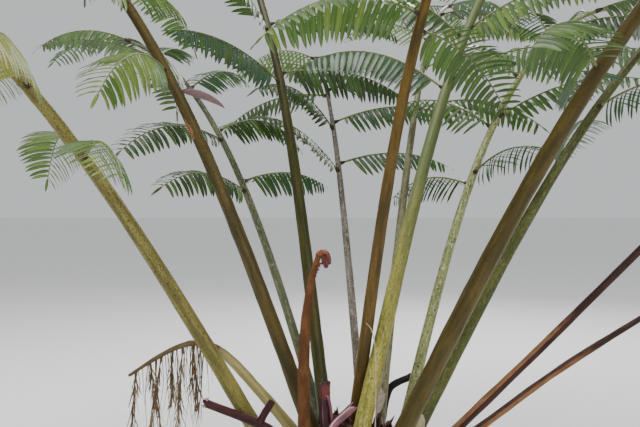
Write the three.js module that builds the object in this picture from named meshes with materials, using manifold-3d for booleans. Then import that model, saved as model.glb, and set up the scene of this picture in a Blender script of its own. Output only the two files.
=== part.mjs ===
// A tree fern. A short stout trunk carries eleven arching fronds, a young coiled frond,
// one bent and withering frond, two dead stipes and the stubs of older ones.
// Millimetres and degrees. +Z is up, the ground is Z = 0 and azimuth 0 is +X.

import * as THREE from 'three';
import { mergeVertices } from 'three/addons/utils/BufferGeometryUtils.js';
import Module from 'manifold-3d';

const wasm = await Module();
wasm.setup();

const { Vector3 } = THREE;
const UP = new Vector3(0, 0, 1);
const radians = THREE.MathUtils.degToRad;

// The gap between two pieces that touch
const CLEARANCE = 0.3;

// Trunk: radius and height of its outline, from the flared foot to the crown
const TRUNK_OUTLINE = [
  [258, 0], [232, 45], [212, 115], [222, 185], [252, 250], [243, 310], [196, 385], [118, 445], [0, 478],
];
const TRUNK_FACETS = 16;
const TRUNK_LEAN = [18, 24];
const ROOT_LOBES = 5;
const ROOT_LOBE_DEPTH = 0.11;
const ROOT_LOBE_TOP = 0.33;

// Old stubs in a spiral up the trunk: each starts inside it and ends in a slanted break
const OLD_STUBS = { count: 11, turn: 137.5, lowest: 95, rise: 16, inside: 52, drop: 34 };
const OLD_STUB_TILTS = [50, 28];
const OLD_STUB_RADII = [26, 23, 18];
const OLD_STUB_LENGTHS = [104, 120, 136];
const OLD_STUB_SHOULDER = 72;
const OLD_STUB_ROOM = 34;
const SNAP_SLANT = 0.8;

// Fronds: foot of the stipe, azimuth, lean from upright at the foot, further arch to the tip,
// length of the bare stipe, length of the blade beyond it, and girth above the foot
const FRONDS = [
  { foot: [-190, -80, 270], azimuth: 207, lean: 30, arch: 86, stipe: 1300, blade: 1900, girth: 58 },
  { foot: [-66, -35, 320], azimuth: 180, lean: 20, arch: 92, stipe: 1500, blade: 1980, girth: 58 },
  { foot: [-52, 168, 320], azimuth: 146, lean: 21, arch: 104, stipe: 1060, blade: 1650, girth: 42 },
  { foot: [-56, 62, 360], azimuth: 119, lean: 14, arch: 100, stipe: 1450, blade: 1900, girth: 54 },
  { foot: [82, 196, 320], azimuth: 99, lean: 24, arch: 96, stipe: 1200, blade: 1650, girth: 38 },
  { foot: [126, 136, 350], azimuth: 69, lean: 22, arch: 92, stipe: 1420, blade: 1700, girth: 42 },
  { foot: [12, -130, 320], azimuth: 47, lean: 21, arch: 86, stipe: 1500, blade: 1980, girth: 62 },
  { foot: [184, 72, 300], azimuth: 28, lean: 17, arch: 106, stipe: 1080, blade: 1650, girth: 46 },
  { foot: [168, -8, 280], azimuth: 2, lean: 27, arch: 80, stipe: 1450, blade: 1750, girth: 50 },
  { foot: [106, -102, 300], azimuth: 324, lean: 27, arch: 84, stipe: 1450, blade: 1980, girth: 66 },
  { foot: [26, 64, 370], azimuth: 302, lean: 12, arch: 122, stipe: 1480, blade: 1900, girth: 50 },
];
const ARCH_POWER = 3;
const LINE_STEPS = 120;
const FOOT_SWELLING = 0.26;
const FOOT_SWELLING_LENGTH = 70;
const STIPE_END_GIRTH = 0.7;
const RACHIS_END_GIRTH = 0.22;
const STIPE_SIDES = 8;
const STIPE_FOOT_RINGS = [0, 70, 170];
const STIPE_RINGS = 4;
const RACHIS_SIDES = 6;
const RACHIS_RINGS = 6;
const SMALL_SIDES = 6;

// Pinnae: the side shoots of a blade, in pairs, with one more at its end
const PAIR_SPACING = 265;
const PAIR_OFFSET = 0.19;
const FIRST_PAIR = 22;
const PINNA_LENGTH = 740;
const PINNA_FULL_BLADE = 1950;
const END_PINNA_LENGTH = 430;
const END_PINNA_SINK = 12;
const RACHIS_SHORT_OF_TIP = 350;
const SKYWARD = 0.55;
const DROOP_POWER = 1.3;
const BARE_STALK = 0.1;
const TOOTH_PITCH = 84;
const FEWEST_TEETH = 5;
const MOST_TEETH = 8;
const RIB_WIDTH = 5;
const RIB_DEPTH = 8.5;
const RIB_TAPER = 0.55;
const RIB_STEPS = 40;
const LEAFLET_LENGTH = 140;
const LEAFLET_FORWARD = 0.24;
const END_LEAFLET = 70;

// How pinnae grow: the middle value and the spread each way, with angles in degrees
const GROWTH = {
  length: [1, 0.06],
  fullestAt: 0.3,
  shorterTowardsTip: 0.55,
  sweepAtFoot: 14,
  sweepAtTip: 48,
  sweepSpread: 5,
  lift: [8, 9],
  droop: [0.95, 0.3],
  fold: [34, 18],
};
const END_GROWTH = { droop: 0.5, fold: [34, 12], leaflet: 0.85 };

// Room between pinnae: how near the leaves of two fronds, or a leaf and a stem, may come,
// and the ways that a pinna is turned or shortened until it has room
const LEAF_ROOM = 62;
const STEM_ROOM = 30;
const GROUND_ROOM = 60;
const ROOM_STATIONS = 13;
const ROOM_REACHES = [-1, -0.67, -0.33, 0, 0.33, 0.67, 1];
const PINNA_TURNS = [
  [0, 0], [9, 0], [-9, 0], [0, 13], [18, 0], [-18, 0], [0, -13], [12, 13], [-12, 13], [28, 6],
  [-27, 6], [20, 24], [-20, 24], [38, 14],
];
const PINNA_SCALES = [1, 0.88, 0.76, 0.64, 0.52];

// Young coiled frond
const CROZIER_LINE = [
  [-141, -132, 345], [-145, -134, 560], [-144, -132, 765], [-134, -130, 900], [-118, -128, 1006],
  [-105, -127, 1052], [-98, -126, 1076],
];
const CROZIER_RADII = [23, 20.5, 19, 16, 12, 10.4, 9.6];
const COIL_CENTRE = [-75, -126, 1080];
const COIL_START_RADIUS = 18;
const COIL_END_RADIUS = 11;
const COIL_START = 150;
const COIL_TURN = 270;
const COIL_STEPS = 12;
const COIL_START_GIRTH = 8.8;
const COIL_END_GIRTH = 5;

// Bent frond: a stipe up to its bend, then the withered blade that hangs over
const BENT_FROND = {
  line: [
    [-118, 52, 300], [-160, 52, 395], [-235, 54, 492], [-330, 56, 600], [-400, 58, 676], [-462, 60, 728],
    [-540, 62, 754], [-612, 62, 740], [-690, 62, 700], [-790, 62, 636],
  ],
  radii: [25, 23, 21, 19, 18, 16, 11.5, 9.5, 8, 6],
};
const BEND_RING = 5;
const DRIED_PINNAE = 8;
const DRIED_LENGTHS = [216, 336];
const DRIED_GROWTH = { droop: 0.4, fold: 66, leaflet: 52, endLeaflet: 30, girth: 0.62 };

// Dead stipes and broken stubs, each a line of points with its radii
const DEAD_STIPES = [
  {
    line: [[214, -40, 240], [300, -42, 372], [405, -44, 484], [720, -48, 790], [1130, -50, 1196]],
    radii: [21, 18, 17, 15, 12],
  },
  {
    line: [[212, 46, 232], [330, 52, 334], [497, 58, 446], [800, 62, 664], [1180, 66, 900]],
    radii: [19, 16, 15, 13, 10],
  },
];
const BROKEN_STUBS = [
  {
    line: [[-118, -186, 320], [-176, -196, 430], [-262, -204, 521], [-464, -206, 604]],
    radii: [19, 17, 15, 13],
  },
  {
    line: [[-64, -98, 370], [-70, -98, 480], [-74, -98, 560], [-72, -98, 642]],
    radii: [19, 18, 17, 11],
  },
  {
    line: [[-62, -186, 360], [-72, -180, 452], [-44, -166, 520], [14, -152, 572]],
    radii: [17, 16, 15, 14],
  },
  {
    line: [[136, 204, 322], [158, 248, 440], [188, 262, 540], [268, 264, 584]],
    radii: [16, 15, 14, 13],
  },
];

// A pale furled bud on its stem
const YOUNG_BUD = {
  line: [
    [203, -112, 285], [217, -110, 380], [235, -108, 452], [248, -106, 492], [257, -105, 520],
    [260, -105, 536],
  ],
  radii: [13, 13, 15, 19, 15, 6],
};

const materials = {
  trunk: new THREE.MeshStandardMaterial({ color: 0x4a3530, roughness: 0.95 }),
  stipe: new THREE.MeshStandardMaterial({ color: 0x7d7a34, roughness: 0.6 }),
  leaf: new THREE.MeshStandardMaterial({ color: 0x3f6a30, roughness: 0.5 }),
  crozier: new THREE.MeshStandardMaterial({ color: 0xa4553a, roughness: 0.9 }),
  dead: new THREE.MeshStandardMaterial({ color: 0x6b3d30, roughness: 0.85 }),
  bud: new THREE.MeshStandardMaterial({ color: 0xc9c08d, roughness: 0.7 }),
};

const fern = new THREE.Group();
fern.name = 'tree_fern';

// The same sequence of numbers from 0 to 1 on every run
function sequence(seed) {
  let state = seed;
  return () => {
    state = (Math.imul(state, 1664525) + 1013904223) >>> 0;
    return state / 4294967296;
  };
}

function addMesh(name, geometry, material) {
  const flat = geometry.index ? geometry.toNonIndexed() : geometry;
  flat.computeVertexNormals();
  const mesh = new THREE.Mesh(flat, material);
  mesh.name = name;
  fern.add(mesh);
}

function toSolid(geometry) {
  const bare = geometry.clone();
  bare.deleteAttribute('normal');
  bare.deleteAttribute('uv');
  const merged = mergeVertices(bare, 1e-4);
  const corners = [];
  for (let i = 0; i < merged.index.count; i += 3) {
    const [a, b, c] = [0, 1, 2].map((k) => merged.index.getX(i + k));
    if (a !== b && b !== c && c !== a) corners.push(a, b, c);
  }
  return new wasm.Manifold(new wasm.Mesh({
    numProp: 3,
    vertProperties: new Float32Array(merged.attributes.position.array),
    triVerts: new Uint32Array(corners),
  }));
}

function toGeometry(solid) {
  const { vertProperties, triVerts, numProp } = solid.getMesh();
  const positions = new Float32Array((vertProperties.length / numProp) * 3);
  for (let i = 0; i < positions.length / 3; i++) {
    for (let axis = 0; axis < 3; axis++) positions[3 * i + axis] = vertProperties[numProp * i + axis];
  }
  const geometry = new THREE.BufferGeometry();
  geometry.setAttribute('position', new THREE.BufferAttribute(positions, 3));
  geometry.setIndex(new THREE.BufferAttribute(new Uint32Array(triVerts), 1));
  return geometry;
}

// The largest body of a solid, so that no loose scrap stays beside it
function largestBody(solid) {
  return solid.decompose().reduce((best, body) => (body.volume() > best.volume() ? body : best));
}

function faceted(points, faces) {
  const geometry = new THREE.BufferGeometry();
  const positions = points.flatMap((point) => [point.x, point.y, point.z]);
  geometry.setAttribute('position', new THREE.Float32BufferAttribute(positions, 3));
  geometry.setIndex(faces.flat());
  return geometry;
}

// A closed tube through rings; a ring has a point, two axes across the tube and a radius
function tube(rings, sides) {
  const points = [];
  const faces = [];
  for (const { point, across, over, radius } of rings) {
    for (let i = 0; i < sides; i++) {
      const turn = (2 * Math.PI * i) / sides;
      points.push(point.clone()
        .addScaledVector(across, radius * Math.cos(turn))
        .addScaledVector(over, radius * Math.sin(turn)));
    }
  }
  for (let k = 0; k + 1 < rings.length; k++) {
    for (let i = 0; i < sides; i++) {
      const near = k * sides + i;
      const next = k * sides + ((i + 1) % sides);
      faces.push([near, next, next + sides], [near, next + sides, near + sides]);
    }
  }
  const last = (rings.length - 1) * sides;
  for (let i = 1; i + 1 < sides; i++) faces.push([0, i + 1, i], [last, last + i, last + i + 1]);
  return faceted(points, faces);
}

// Rings at the points of a line, with axes that turn as little as they can from one to the next
function ringsThrough(points, radii) {
  let over = new Vector3(0, 1, 0);
  return points.map((point, i) => {
    const before = points[Math.max(i - 1, 0)];
    const after = points[Math.min(i + 1, points.length - 1)];
    const along = after.clone().sub(before).normalize();
    over = over.clone().addScaledVector(along, -over.dot(along)).normalize();
    return { point, along, across: over.clone().cross(along), over, radius: radii[i] };
  });
}

const ringsOfLine = ({ line, radii }) => ringsThrough(line.map((point) => new Vector3(...point)), radii);

// The last ring is slanted, as on a stem that has snapped
function snapped(rings) {
  const last = rings[rings.length - 1];
  const slanted = { ...last, over: last.over.clone().addScaledVector(last.along, SNAP_SLANT) };
  return [...rings.slice(0, -1), slanted];
}

// The rings with every radius larger and the first ring set back, to cut a socket with
function withClearance(rings) {
  return rings.map((ring, i) => ({
    ...ring,
    radius: ring.radius + CLEARANCE,
    point: i === 0 ? ring.point.clone().addScaledVector(ring.along, -CLEARANCE) : ring.point,
  }));
}

// The centre line of a frond in its upright plane: a place and its axes at any length along it
function frondLine(frond) {
  const azimuth = radians(frond.azimuth);
  const out = new Vector3(Math.cos(azimuth), Math.sin(azimuth), 0);
  const across = new Vector3(-out.y, out.x, 0);
  const length = frond.stipe + frond.blade;
  const step = length / LINE_STEPS;
  const angle = (share) => radians(frond.lean + frond.arch * share ** ARCH_POWER);
  const heading = (share) => out.clone().multiplyScalar(Math.sin(angle(share)))
    .addScaledVector(UP, Math.cos(angle(share)));
  const places = [new Vector3(...frond.foot)];
  for (let i = 0; i < LINE_STEPS; i++) {
    places.push(places[i].clone().addScaledVector(heading((i + 0.5) / LINE_STEPS), step));
  }
  return (distance) => {
    const place = Math.min(distance / step, LINE_STEPS - 1e-9);
    const low = Math.floor(place);
    const along = heading(distance / length);
    return {
      point: places[low].clone().lerp(places[low + 1], place - low),
      along,
      across,
      over: along.clone().cross(across),
      radius: stemRadius(frond, distance),
    };
  };
}

function stemRadius(frond, distance) {
  const half = frond.girth / 2;
  const further = (distance - frond.stipe) / frond.blade;
  if (further > 0) return half * (STIPE_END_GIRTH + (RACHIS_END_GIRTH - STIPE_END_GIRTH) * further);
  const swelling = 1 + FOOT_SWELLING * Math.exp(-distance / FOOT_SWELLING_LENGTH);
  return half * swelling * (1 - ((1 - STIPE_END_GIRTH) * distance) / frond.stipe);
}

const rachisLength = (frond) => frond.blade - RACHIS_SHORT_OF_TIP;

function stipeRings(frond, at) {
  const rings = STIPE_FOOT_RINGS.map(at);
  const start = STIPE_FOOT_RINGS[STIPE_FOOT_RINGS.length - 1];
  for (let i = 1; i <= STIPE_RINGS; i++) rings.push(at(start + ((frond.stipe - start) * i) / STIPE_RINGS));
  return rings;
}

function rachisRings(frond, at) {
  const start = frond.stipe + CLEARANCE;
  const end = frond.stipe + rachisLength(frond);
  return Array.from({ length: RACHIS_RINGS + 1 }, (_, i) => at(start + ((end - start) * i) / RACHIS_RINGS));
}

// A pinna's rib: it leaves along its heading and droops towards its tip
function ribLine({ root, heading, droop, length }) {
  const headingAt = (share) => heading.clone().addScaledVector(UP, -droop * share ** DROOP_POWER).normalize();
  const places = [root.clone()];
  for (let i = 0; i < RIB_STEPS; i++) {
    places.push(places[i].clone().addScaledVector(headingAt((i + 0.5) / RIB_STEPS), length / RIB_STEPS));
  }
  return (share) => {
    const place = Math.min(share * RIB_STEPS, RIB_STEPS - 1e-9);
    const low = Math.floor(place);
    return { point: places[low].clone().lerp(places[low + 1], place - low), along: headingAt(share) };
  };
}

// A place on a pinna: the rib's point there, the way it faces and its right-hand side
function pinnaStation(pinna, rib, share) {
  const { point, along } = rib(share);
  const upper = pinna.facing.clone().addScaledVector(along, -pinna.facing.dot(along)).normalize();
  return { share, point, along, upper, side: along.clone().cross(upper) };
}

function leafletLength(pinna, share) {
  const growing = Math.min(1, 0.62 + 2.2 * share);
  const waning = 1 - 0.6 * (Math.max(0, share - 0.55) / 0.45) ** 1.5;
  return pinna.leaflet * growing * waning;
}

// A point on the leaflet of one side, at a share of its length from the rib
function leafletPoint(pinna, { share, point, along, upper, side }, reach) {
  const heading = side.clone().multiplyScalar(Math.sign(reach) * Math.cos(pinna.fold))
    .addScaledVector(upper, -Math.sin(pinna.fold))
    .addScaledVector(along, LEAFLET_FORWARD)
    .normalize();
  return point.clone().addScaledVector(heading, Math.abs(reach) * leafletLength(pinna, share));
}

// A closed pinna: a three-sided rib with a bare stalk, and a thin pointed tooth on each side
// of every stretch, so that its outline is cut to the rib between the teeth
function pinnaGeometry(pinna) {
  const rib = ribLine(pinna);
  const wanted = Math.round(((1 - BARE_STALK) * pinna.length) / TOOTH_PITCH);
  const teeth = THREE.MathUtils.clamp(wanted, FEWEST_TEETH, MOST_TEETH);
  const shares = [0, BARE_STALK / 2];
  for (let i = 0; i <= teeth; i++) shares.push(BARE_STALK + ((1 - BARE_STALK) * i) / teeth);
  const stations = shares.map((share) => pinnaStation(pinna, rib, share));
  const points = stations.flatMap(({ share, point, upper, side }) => {
    const slim = pinna.girth * (1 - RIB_TAPER * share);
    return [
      point.clone().addScaledVector(side, RIB_WIDTH * slim),
      point.clone().addScaledVector(upper, -RIB_DEPTH * slim),
      point.clone().addScaledVector(side, -RIB_WIDTH * slim),
    ];
  });
  const faces = [[0, 2, 1]];
  const fanTo = (tip, edge) => {
    points.push(tip);
    edge.forEach((corner, i) => faces.push([corner, edge[(i + 1) % edge.length], points.length - 1]));
  };
  for (let k = 0; k + 1 < stations.length; k++) {
    for (let which = 0; which < 3; which++) {
      const next = (which + 1) % 3;
      const [a, b, c, d] = [3 * k + which, 3 * k + next, 3 * k + 3 + next, 3 * k + 3 + which];
      const onTop = which === 2;
      if (k < 2 || onTop) {
        faces.push([a, b, c], [a, c, d]);
      } else {
        const middle = pinnaStation(pinna, rib, (shares[k] + shares[k + 1]) / 2);
        fanTo(leafletPoint(pinna, middle, which === 0 ? 1 : -1), [a, b, c, d]);
      }
    }
  }
  const last = stations[stations.length - 1];
  const corner = 3 * (stations.length - 1);
  fanTo(last.point.clone().addScaledVector(last.along, pinna.endLeaflet), [corner, corner + 1, corner + 2]);
  return faceted(points, faces);
}

// Every stem as short straight pieces, and every pinna that has its place as points on its leaves
const stemPieces = [];
const leafGroups = [];

function keepStem(owner, rings) {
  for (let i = 0; i + 1 < rings.length; i++) {
    const radius = Math.max(rings[i].radius, rings[i + 1].radius);
    stemPieces.push({ owner, from: rings[i].point, to: rings[i + 1].point, radius });
  }
}

function leafGroup(owner, pinna) {
  const rib = ribLine(pinna);
  const points = [];
  for (let i = 0; i < ROOM_STATIONS; i++) {
    const share = BARE_STALK + ((1 - BARE_STALK) * i) / (ROOM_STATIONS - 1);
    const station = pinnaStation(pinna, rib, share);
    for (const reach of ROOM_REACHES) points.push(leafletPoint(pinna, station, reach));
  }
  const centre = points.reduce((sum, point) => sum.add(point), new Vector3()).divideScalar(points.length);
  return { owner, points, centre, radius: Math.max(...points.map((point) => point.distanceTo(centre))) };
}

function distanceToPiece(point, { from, to }) {
  const run = to.clone().sub(from);
  const share = THREE.MathUtils.clamp(point.clone().sub(from).dot(run) / run.lengthSq(), 0, 1);
  return point.distanceTo(from.clone().addScaledVector(run, share));
}

// Whether a group of leaf points keeps its room from the ground, the stems and the other fronds
function hasRoom(group, ownStem) {
  if (group.points.some((point) => point.z < GROUND_ROOM)) return false;
  for (const piece of stemPieces) {
    if (piece.owner === ownStem) continue;
    const room = piece.radius + STEM_ROOM;
    if (distanceToPiece(group.centre, piece) > group.radius + room) continue;
    if (group.points.some((point) => distanceToPiece(point, piece) < room)) return false;
  }
  for (const other of leafGroups) {
    if (other.owner === group.owner) continue;
    if (other.centre.distanceTo(group.centre) > other.radius + group.radius + LEAF_ROOM) continue;
    const isNear = (point) => other.points.some((far) => far.distanceTo(point) < LEAF_ROOM);
    if (group.points.some(isNear)) return false;
  }
  return true;
}

// The pinna as it grows where it has room: turned or shortened as little as that takes, or left out
function settledPinna(owner, ownStem, grow) {
  for (const scale of PINNA_SCALES) {
    for (const [lift, sweep] of PINNA_TURNS) {
      const pinna = grow(scale, lift, sweep);
      const group = leafGroup(owner, pinna);
      if (hasRoom(group, ownStem)) {
        leafGroups.push(group);
        return pinna;
      }
    }
  }
  return null;
}

function pinnaHeading({ along, across, over }, hand, sweep, lift) {
  const flat = along.clone().multiplyScalar(Math.sin(radians(sweep)))
    .addScaledVector(across, hand * Math.cos(radians(sweep)));
  return flat.multiplyScalar(Math.cos(radians(lift))).addScaledVector(over, Math.sin(radians(lift)));
}

// A blade's leaves face between square to its rachis and the sky
const facingOf = ({ over }) => over.clone().lerp(UP, SKYWARD).normalize();

// The pinnae of one frond, from its lowest pair to the one at its end
function frondPinnae(index, frond, lineAt, random) {
  const pinnae = [];
  const size = frond.blade / PINNA_FULL_BLADE;
  const rachis = rachisLength(frond);
  const pairs = Math.round(rachis / PAIR_SPACING);
  const spacing = (rachis - FIRST_PAIR) / pairs;
  const around = ([middle, spread]) => middle + spread * (2 * random() - 1);
  const grown = (station, hand, growth) => {
    const pinna = settledPinna(index, `rachis ${index}`, (scale, lift, sweep) => ({
      root: station.point,
      heading: pinnaHeading(station, hand, growth.sweep + sweep, growth.lift + lift),
      facing: facingOf(station),
      droop: growth.droop,
      fold: growth.fold,
      length: growth.length * scale,
      leaflet: growth.leaflet * (0.7 + 0.3 * scale),
      endLeaflet: END_LEAFLET,
      girth: 1,
    }));
    if (pinna) pinnae.push(pinna);
  };
  for (let pair = 0; pair < pairs; pair++) {
    for (const hand of [1, -1]) {
      const distance = FIRST_PAIR + spacing * (pair + (hand < 0 ? PAIR_OFFSET : 0));
      const share = distance / rachis;
      const away = Math.abs(share - GROWTH.fullestAt) / (1 - GROWTH.fullestAt);
      grown(lineAt(frond.stipe + distance), hand, {
        length: PINNA_LENGTH * size * around(GROWTH.length)
          * (1 - GROWTH.shorterTowardsTip * away ** 1.5),
        sweep: around([
          THREE.MathUtils.lerp(GROWTH.sweepAtFoot, GROWTH.sweepAtTip, share), GROWTH.sweepSpread,
        ]),
        lift: around(GROWTH.lift),
        droop: around(GROWTH.droop),
        fold: radians(around(GROWTH.fold)),
        leaflet: LEAFLET_LENGTH * size,
      });
    }
  }
  grown(lineAt(frond.stipe + rachis - END_PINNA_SINK), 1, {
    length: END_PINNA_LENGTH * size,
    sweep: 90,
    lift: 0,
    droop: END_GROWTH.droop,
    fold: radians(around(END_GROWTH.fold)),
    leaflet: LEAFLET_LENGTH * size * END_GROWTH.leaflet,
  });
  return pinnae;
}

// Dry pinnae that hang in a curtain under the withered blade
function driedPinnae(rings, random) {
  const pinnae = [];
  for (let i = 0; i < DRIED_PINNAE; i++) {
    const place = ((i + 0.5) / DRIED_PINNAE) * (rings.length - 1);
    const low = Math.floor(place);
    const root = rings[low].point.clone().lerp(rings[low + 1].point, place - low);
    const hand = i % 2 === 0 ? 1 : -1;
    const heading = new Vector3(0.5 * random() - 0.25, hand * (0.25 + 0.2 * random()), -1).normalize();
    const facing = new Vector3(random() - 0.5, hand, 0.4).normalize();
    const length = THREE.MathUtils.lerp(...DRIED_LENGTHS, random());
    const pinna = settledPinna('withered', 'withered', (scale) => ({
      ...DRIED_GROWTH, root, heading, facing, fold: radians(DRIED_GROWTH.fold), length: length * scale,
    }));
    if (pinna) pinnae.push(pinna);
  }
  return pinnae;
}

function joined(geometries) {
  return geometries.map(toSolid).reduce((whole, piece) => whole.add(piece));
}

// The young frond's rings: up its stem, then inwards round its coil
function crozierRings() {
  const centre = new Vector3(...COIL_CENTRE);
  const points = CROZIER_LINE.map((point) => new Vector3(...point));
  const radii = [...CROZIER_RADII];
  for (let i = 0; i <= COIL_STEPS; i++) {
    const share = i / COIL_STEPS;
    const turn = radians(COIL_START - COIL_TURN * share);
    const reach = THREE.MathUtils.lerp(COIL_START_RADIUS, COIL_END_RADIUS, share);
    points.push(centre.clone().add(new Vector3(Math.cos(turn) * reach, 0, Math.sin(turn) * reach)));
    radii.push(THREE.MathUtils.lerp(COIL_START_GIRTH, COIL_END_GIRTH, share));
  }
  return ringsThrough(points, radii);
}

function trunkBody() {
  const outline = [[0, 0], ...TRUNK_OUTLINE].map(([radius, height]) => new THREE.Vector2(radius, height));
  const geometry = new THREE.LatheGeometry(outline, TRUNK_FACETS).rotateX(Math.PI / 2);
  const position = geometry.attributes.position;
  const height = TRUNK_OUTLINE[TRUNK_OUTLINE.length - 1][1];
  for (let i = 0; i < position.count; i++) {
    const point = new Vector3().fromBufferAttribute(position, i);
    const share = point.z / height;
    const wave = Math.cos(ROOT_LOBES * Math.atan2(point.y, point.x));
    const lobes = ROOT_LOBE_DEPTH * wave * Math.max(0, 1 - share / ROOT_LOBE_TOP);
    position.setXYZ(
      i,
      point.x * (1 + lobes) + TRUNK_LEAN[0] * share,
      point.y * (1 + lobes) + TRUNK_LEAN[1] * share,
      point.z,
    );
  }
  return geometry;
}

function trunkRadius(height) {
  const above = TRUNK_OUTLINE.findIndex(([, level]) => level >= height);
  const [[lowRadius, low], [highRadius, high]] = [TRUNK_OUTLINE[above - 1], TRUNK_OUTLINE[above]];
  return THREE.MathUtils.mapLinear(height, low, high, lowRadius, highRadius);
}

// Stubs of shed fronds, in a spiral up the trunk, where no stem is near
function oldStubs() {
  const stubs = [];
  for (let i = 0; i < OLD_STUBS.count; i++) {
    const turn = radians(OLD_STUBS.turn * i);
    const height = OLD_STUBS.lowest + OLD_STUBS.rise * i;
    const out = new Vector3(Math.cos(turn), Math.sin(turn), 0);
    const tilt = radians(THREE.MathUtils.lerp(...OLD_STUB_TILTS, i / OLD_STUBS.count));
    const along = out.clone().multiplyScalar(Math.sin(tilt)).addScaledVector(UP, Math.cos(tilt));
    const base = out.clone().multiplyScalar(trunkRadius(height) - OLD_STUBS.inside);
    base.z = height - OLD_STUBS.drop;
    const ends = [0, OLD_STUB_SHOULDER, OLD_STUB_LENGTHS[i % OLD_STUB_LENGTHS.length]];
    const points = ends.map((distance) => base.clone().addScaledVector(along, distance));
    const near = (piece) => distanceToPiece(points[2], piece) < piece.radius + OLD_STUB_ROOM;
    if (stemPieces.some(near)) continue;
    stubs.push(tube(snapped(ringsThrough(points, OLD_STUB_RADII)), SMALL_SIDES));
  }
  return stubs;
}

// Stems
const random = sequence(20417);
const lines = FRONDS.map(frondLine);
const sockets = [];
FRONDS.forEach((frond, i) => {
  const rings = stipeRings(frond, lines[i]);
  keepStem(`stipe ${i}`, rings);
  keepStem(`rachis ${i}`, rachisRings(frond, lines[i]));
  sockets.push(tube(withClearance(rings), STIPE_SIDES));
  addMesh(`stipe_${i + 1}`, tube(rings, STIPE_SIDES), materials.stipe);
});

function addStem(name, rings, material) {
  keepStem(name, rings);
  sockets.push(tube(withClearance(rings), SMALL_SIDES));
  addMesh(name, tube(rings, SMALL_SIDES), material);
}

const bentRings = ringsOfLine(BENT_FROND);
addStem('crozier', crozierRings(), materials.crozier);
addStem('young_bud', ringsOfLine(YOUNG_BUD), materials.bud);
addStem('bent_stipe', bentRings.slice(0, BEND_RING + 1), materials.stipe);
DEAD_STIPES.forEach((stem, i) => {
  addStem(`dead_stipe_${i + 1}`, snapped(ringsOfLine(stem)), materials.dead);
});
BROKEN_STUBS.forEach((stem, i) => {
  addStem(`broken_stub_${i + 1}`, snapped(ringsOfLine(stem)), materials.dead);
});

const bendRing = bentRings[BEND_RING];
const witheredStart = {
  ...bendRing, point: bendRing.point.clone().addScaledVector(bendRing.along, CLEARANCE),
};
const witheredRings = [witheredStart, ...bentRings.slice(BEND_RING + 1)];
keepStem('withered', witheredRings);

// Trunk, with a socket for each stem that stands in it
const wholeTrunk = joined([trunkBody(), ...oldStubs()]);
const trunk = sockets.map(toSolid).reduce((body, socket) => body.subtract(socket), wholeTrunk);
addMesh('trunk', toGeometry(largestBody(trunk)), materials.trunk);

// Blades
FRONDS.forEach((frond, i) => {
  const rachis = tube(rachisRings(frond, lines[i]), RACHIS_SIDES);
  const pinnae = frondPinnae(i, frond, lines[i], random).map(pinnaGeometry);
  addMesh(`frond_${i + 1}`, toGeometry(largestBody(joined([rachis, ...pinnae]))), materials.leaf);
});
const dried = driedPinnae(witheredRings, random).map(pinnaGeometry);
const withered = joined([tube(witheredRings, SMALL_SIDES), ...dried]);
addMesh('withered_frond', toGeometry(largestBody(withered)), materials.dead);

export default fern;
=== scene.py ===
# A tree fern: the stems and blades of the CAD model drawn again with leaflets, bark and felt.
# The rule that places the pinnae is the CAD model's own, in millimetres and degrees.
# Meshes are in metres, with +Z up and the ground at Z = 0.

import math
from collections import namedtuple

import bpy
import numpy as np
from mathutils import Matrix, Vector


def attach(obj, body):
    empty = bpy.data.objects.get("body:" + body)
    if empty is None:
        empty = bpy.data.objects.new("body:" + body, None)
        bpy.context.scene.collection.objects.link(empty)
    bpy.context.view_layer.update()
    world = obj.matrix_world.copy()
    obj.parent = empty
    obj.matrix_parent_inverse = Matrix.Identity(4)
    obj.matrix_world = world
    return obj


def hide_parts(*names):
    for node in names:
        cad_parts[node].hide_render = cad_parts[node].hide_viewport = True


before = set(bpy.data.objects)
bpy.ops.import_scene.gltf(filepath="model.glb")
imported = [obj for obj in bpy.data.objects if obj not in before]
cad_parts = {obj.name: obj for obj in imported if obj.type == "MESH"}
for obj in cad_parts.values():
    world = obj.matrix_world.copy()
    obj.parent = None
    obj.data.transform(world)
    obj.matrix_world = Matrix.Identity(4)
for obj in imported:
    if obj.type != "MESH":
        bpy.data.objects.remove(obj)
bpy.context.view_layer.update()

MM = 0.001
UP = np.array([0.0, 0.0, 1.0])

# Camera, level and looking along +Y
CAMERA_PLACE = (-0.09, -2.55, 1.23)
CAMERA_LENS = 40
CAMERA_SENSOR = 36

# Trunk: radius and height of its outline, from the flared foot to the crown
TRUNK_OUTLINE = [
    (258, 0), (232, 45), (212, 115), (222, 185), (252, 250), (243, 310), (196, 385), (118, 445), (0, 478),
]
TRUNK_LEAN = (18, 24)
ROOT_LOBES = 5
ROOT_LOBE_DEPTH = 0.11
ROOT_LOBE_TOP = 0.33

# Old stubs in a spiral up the trunk
OLD_STUBS = {"count": 11, "turn": 137.5, "lowest": 95, "rise": 16, "inside": 52, "drop": 34}
OLD_STUB_TILTS = (50, 28)
OLD_STUB_RADIUS = 24
OLD_STUB_LENGTHS = (104, 120, 136)
OLD_STUB_ROOM = 34

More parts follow.
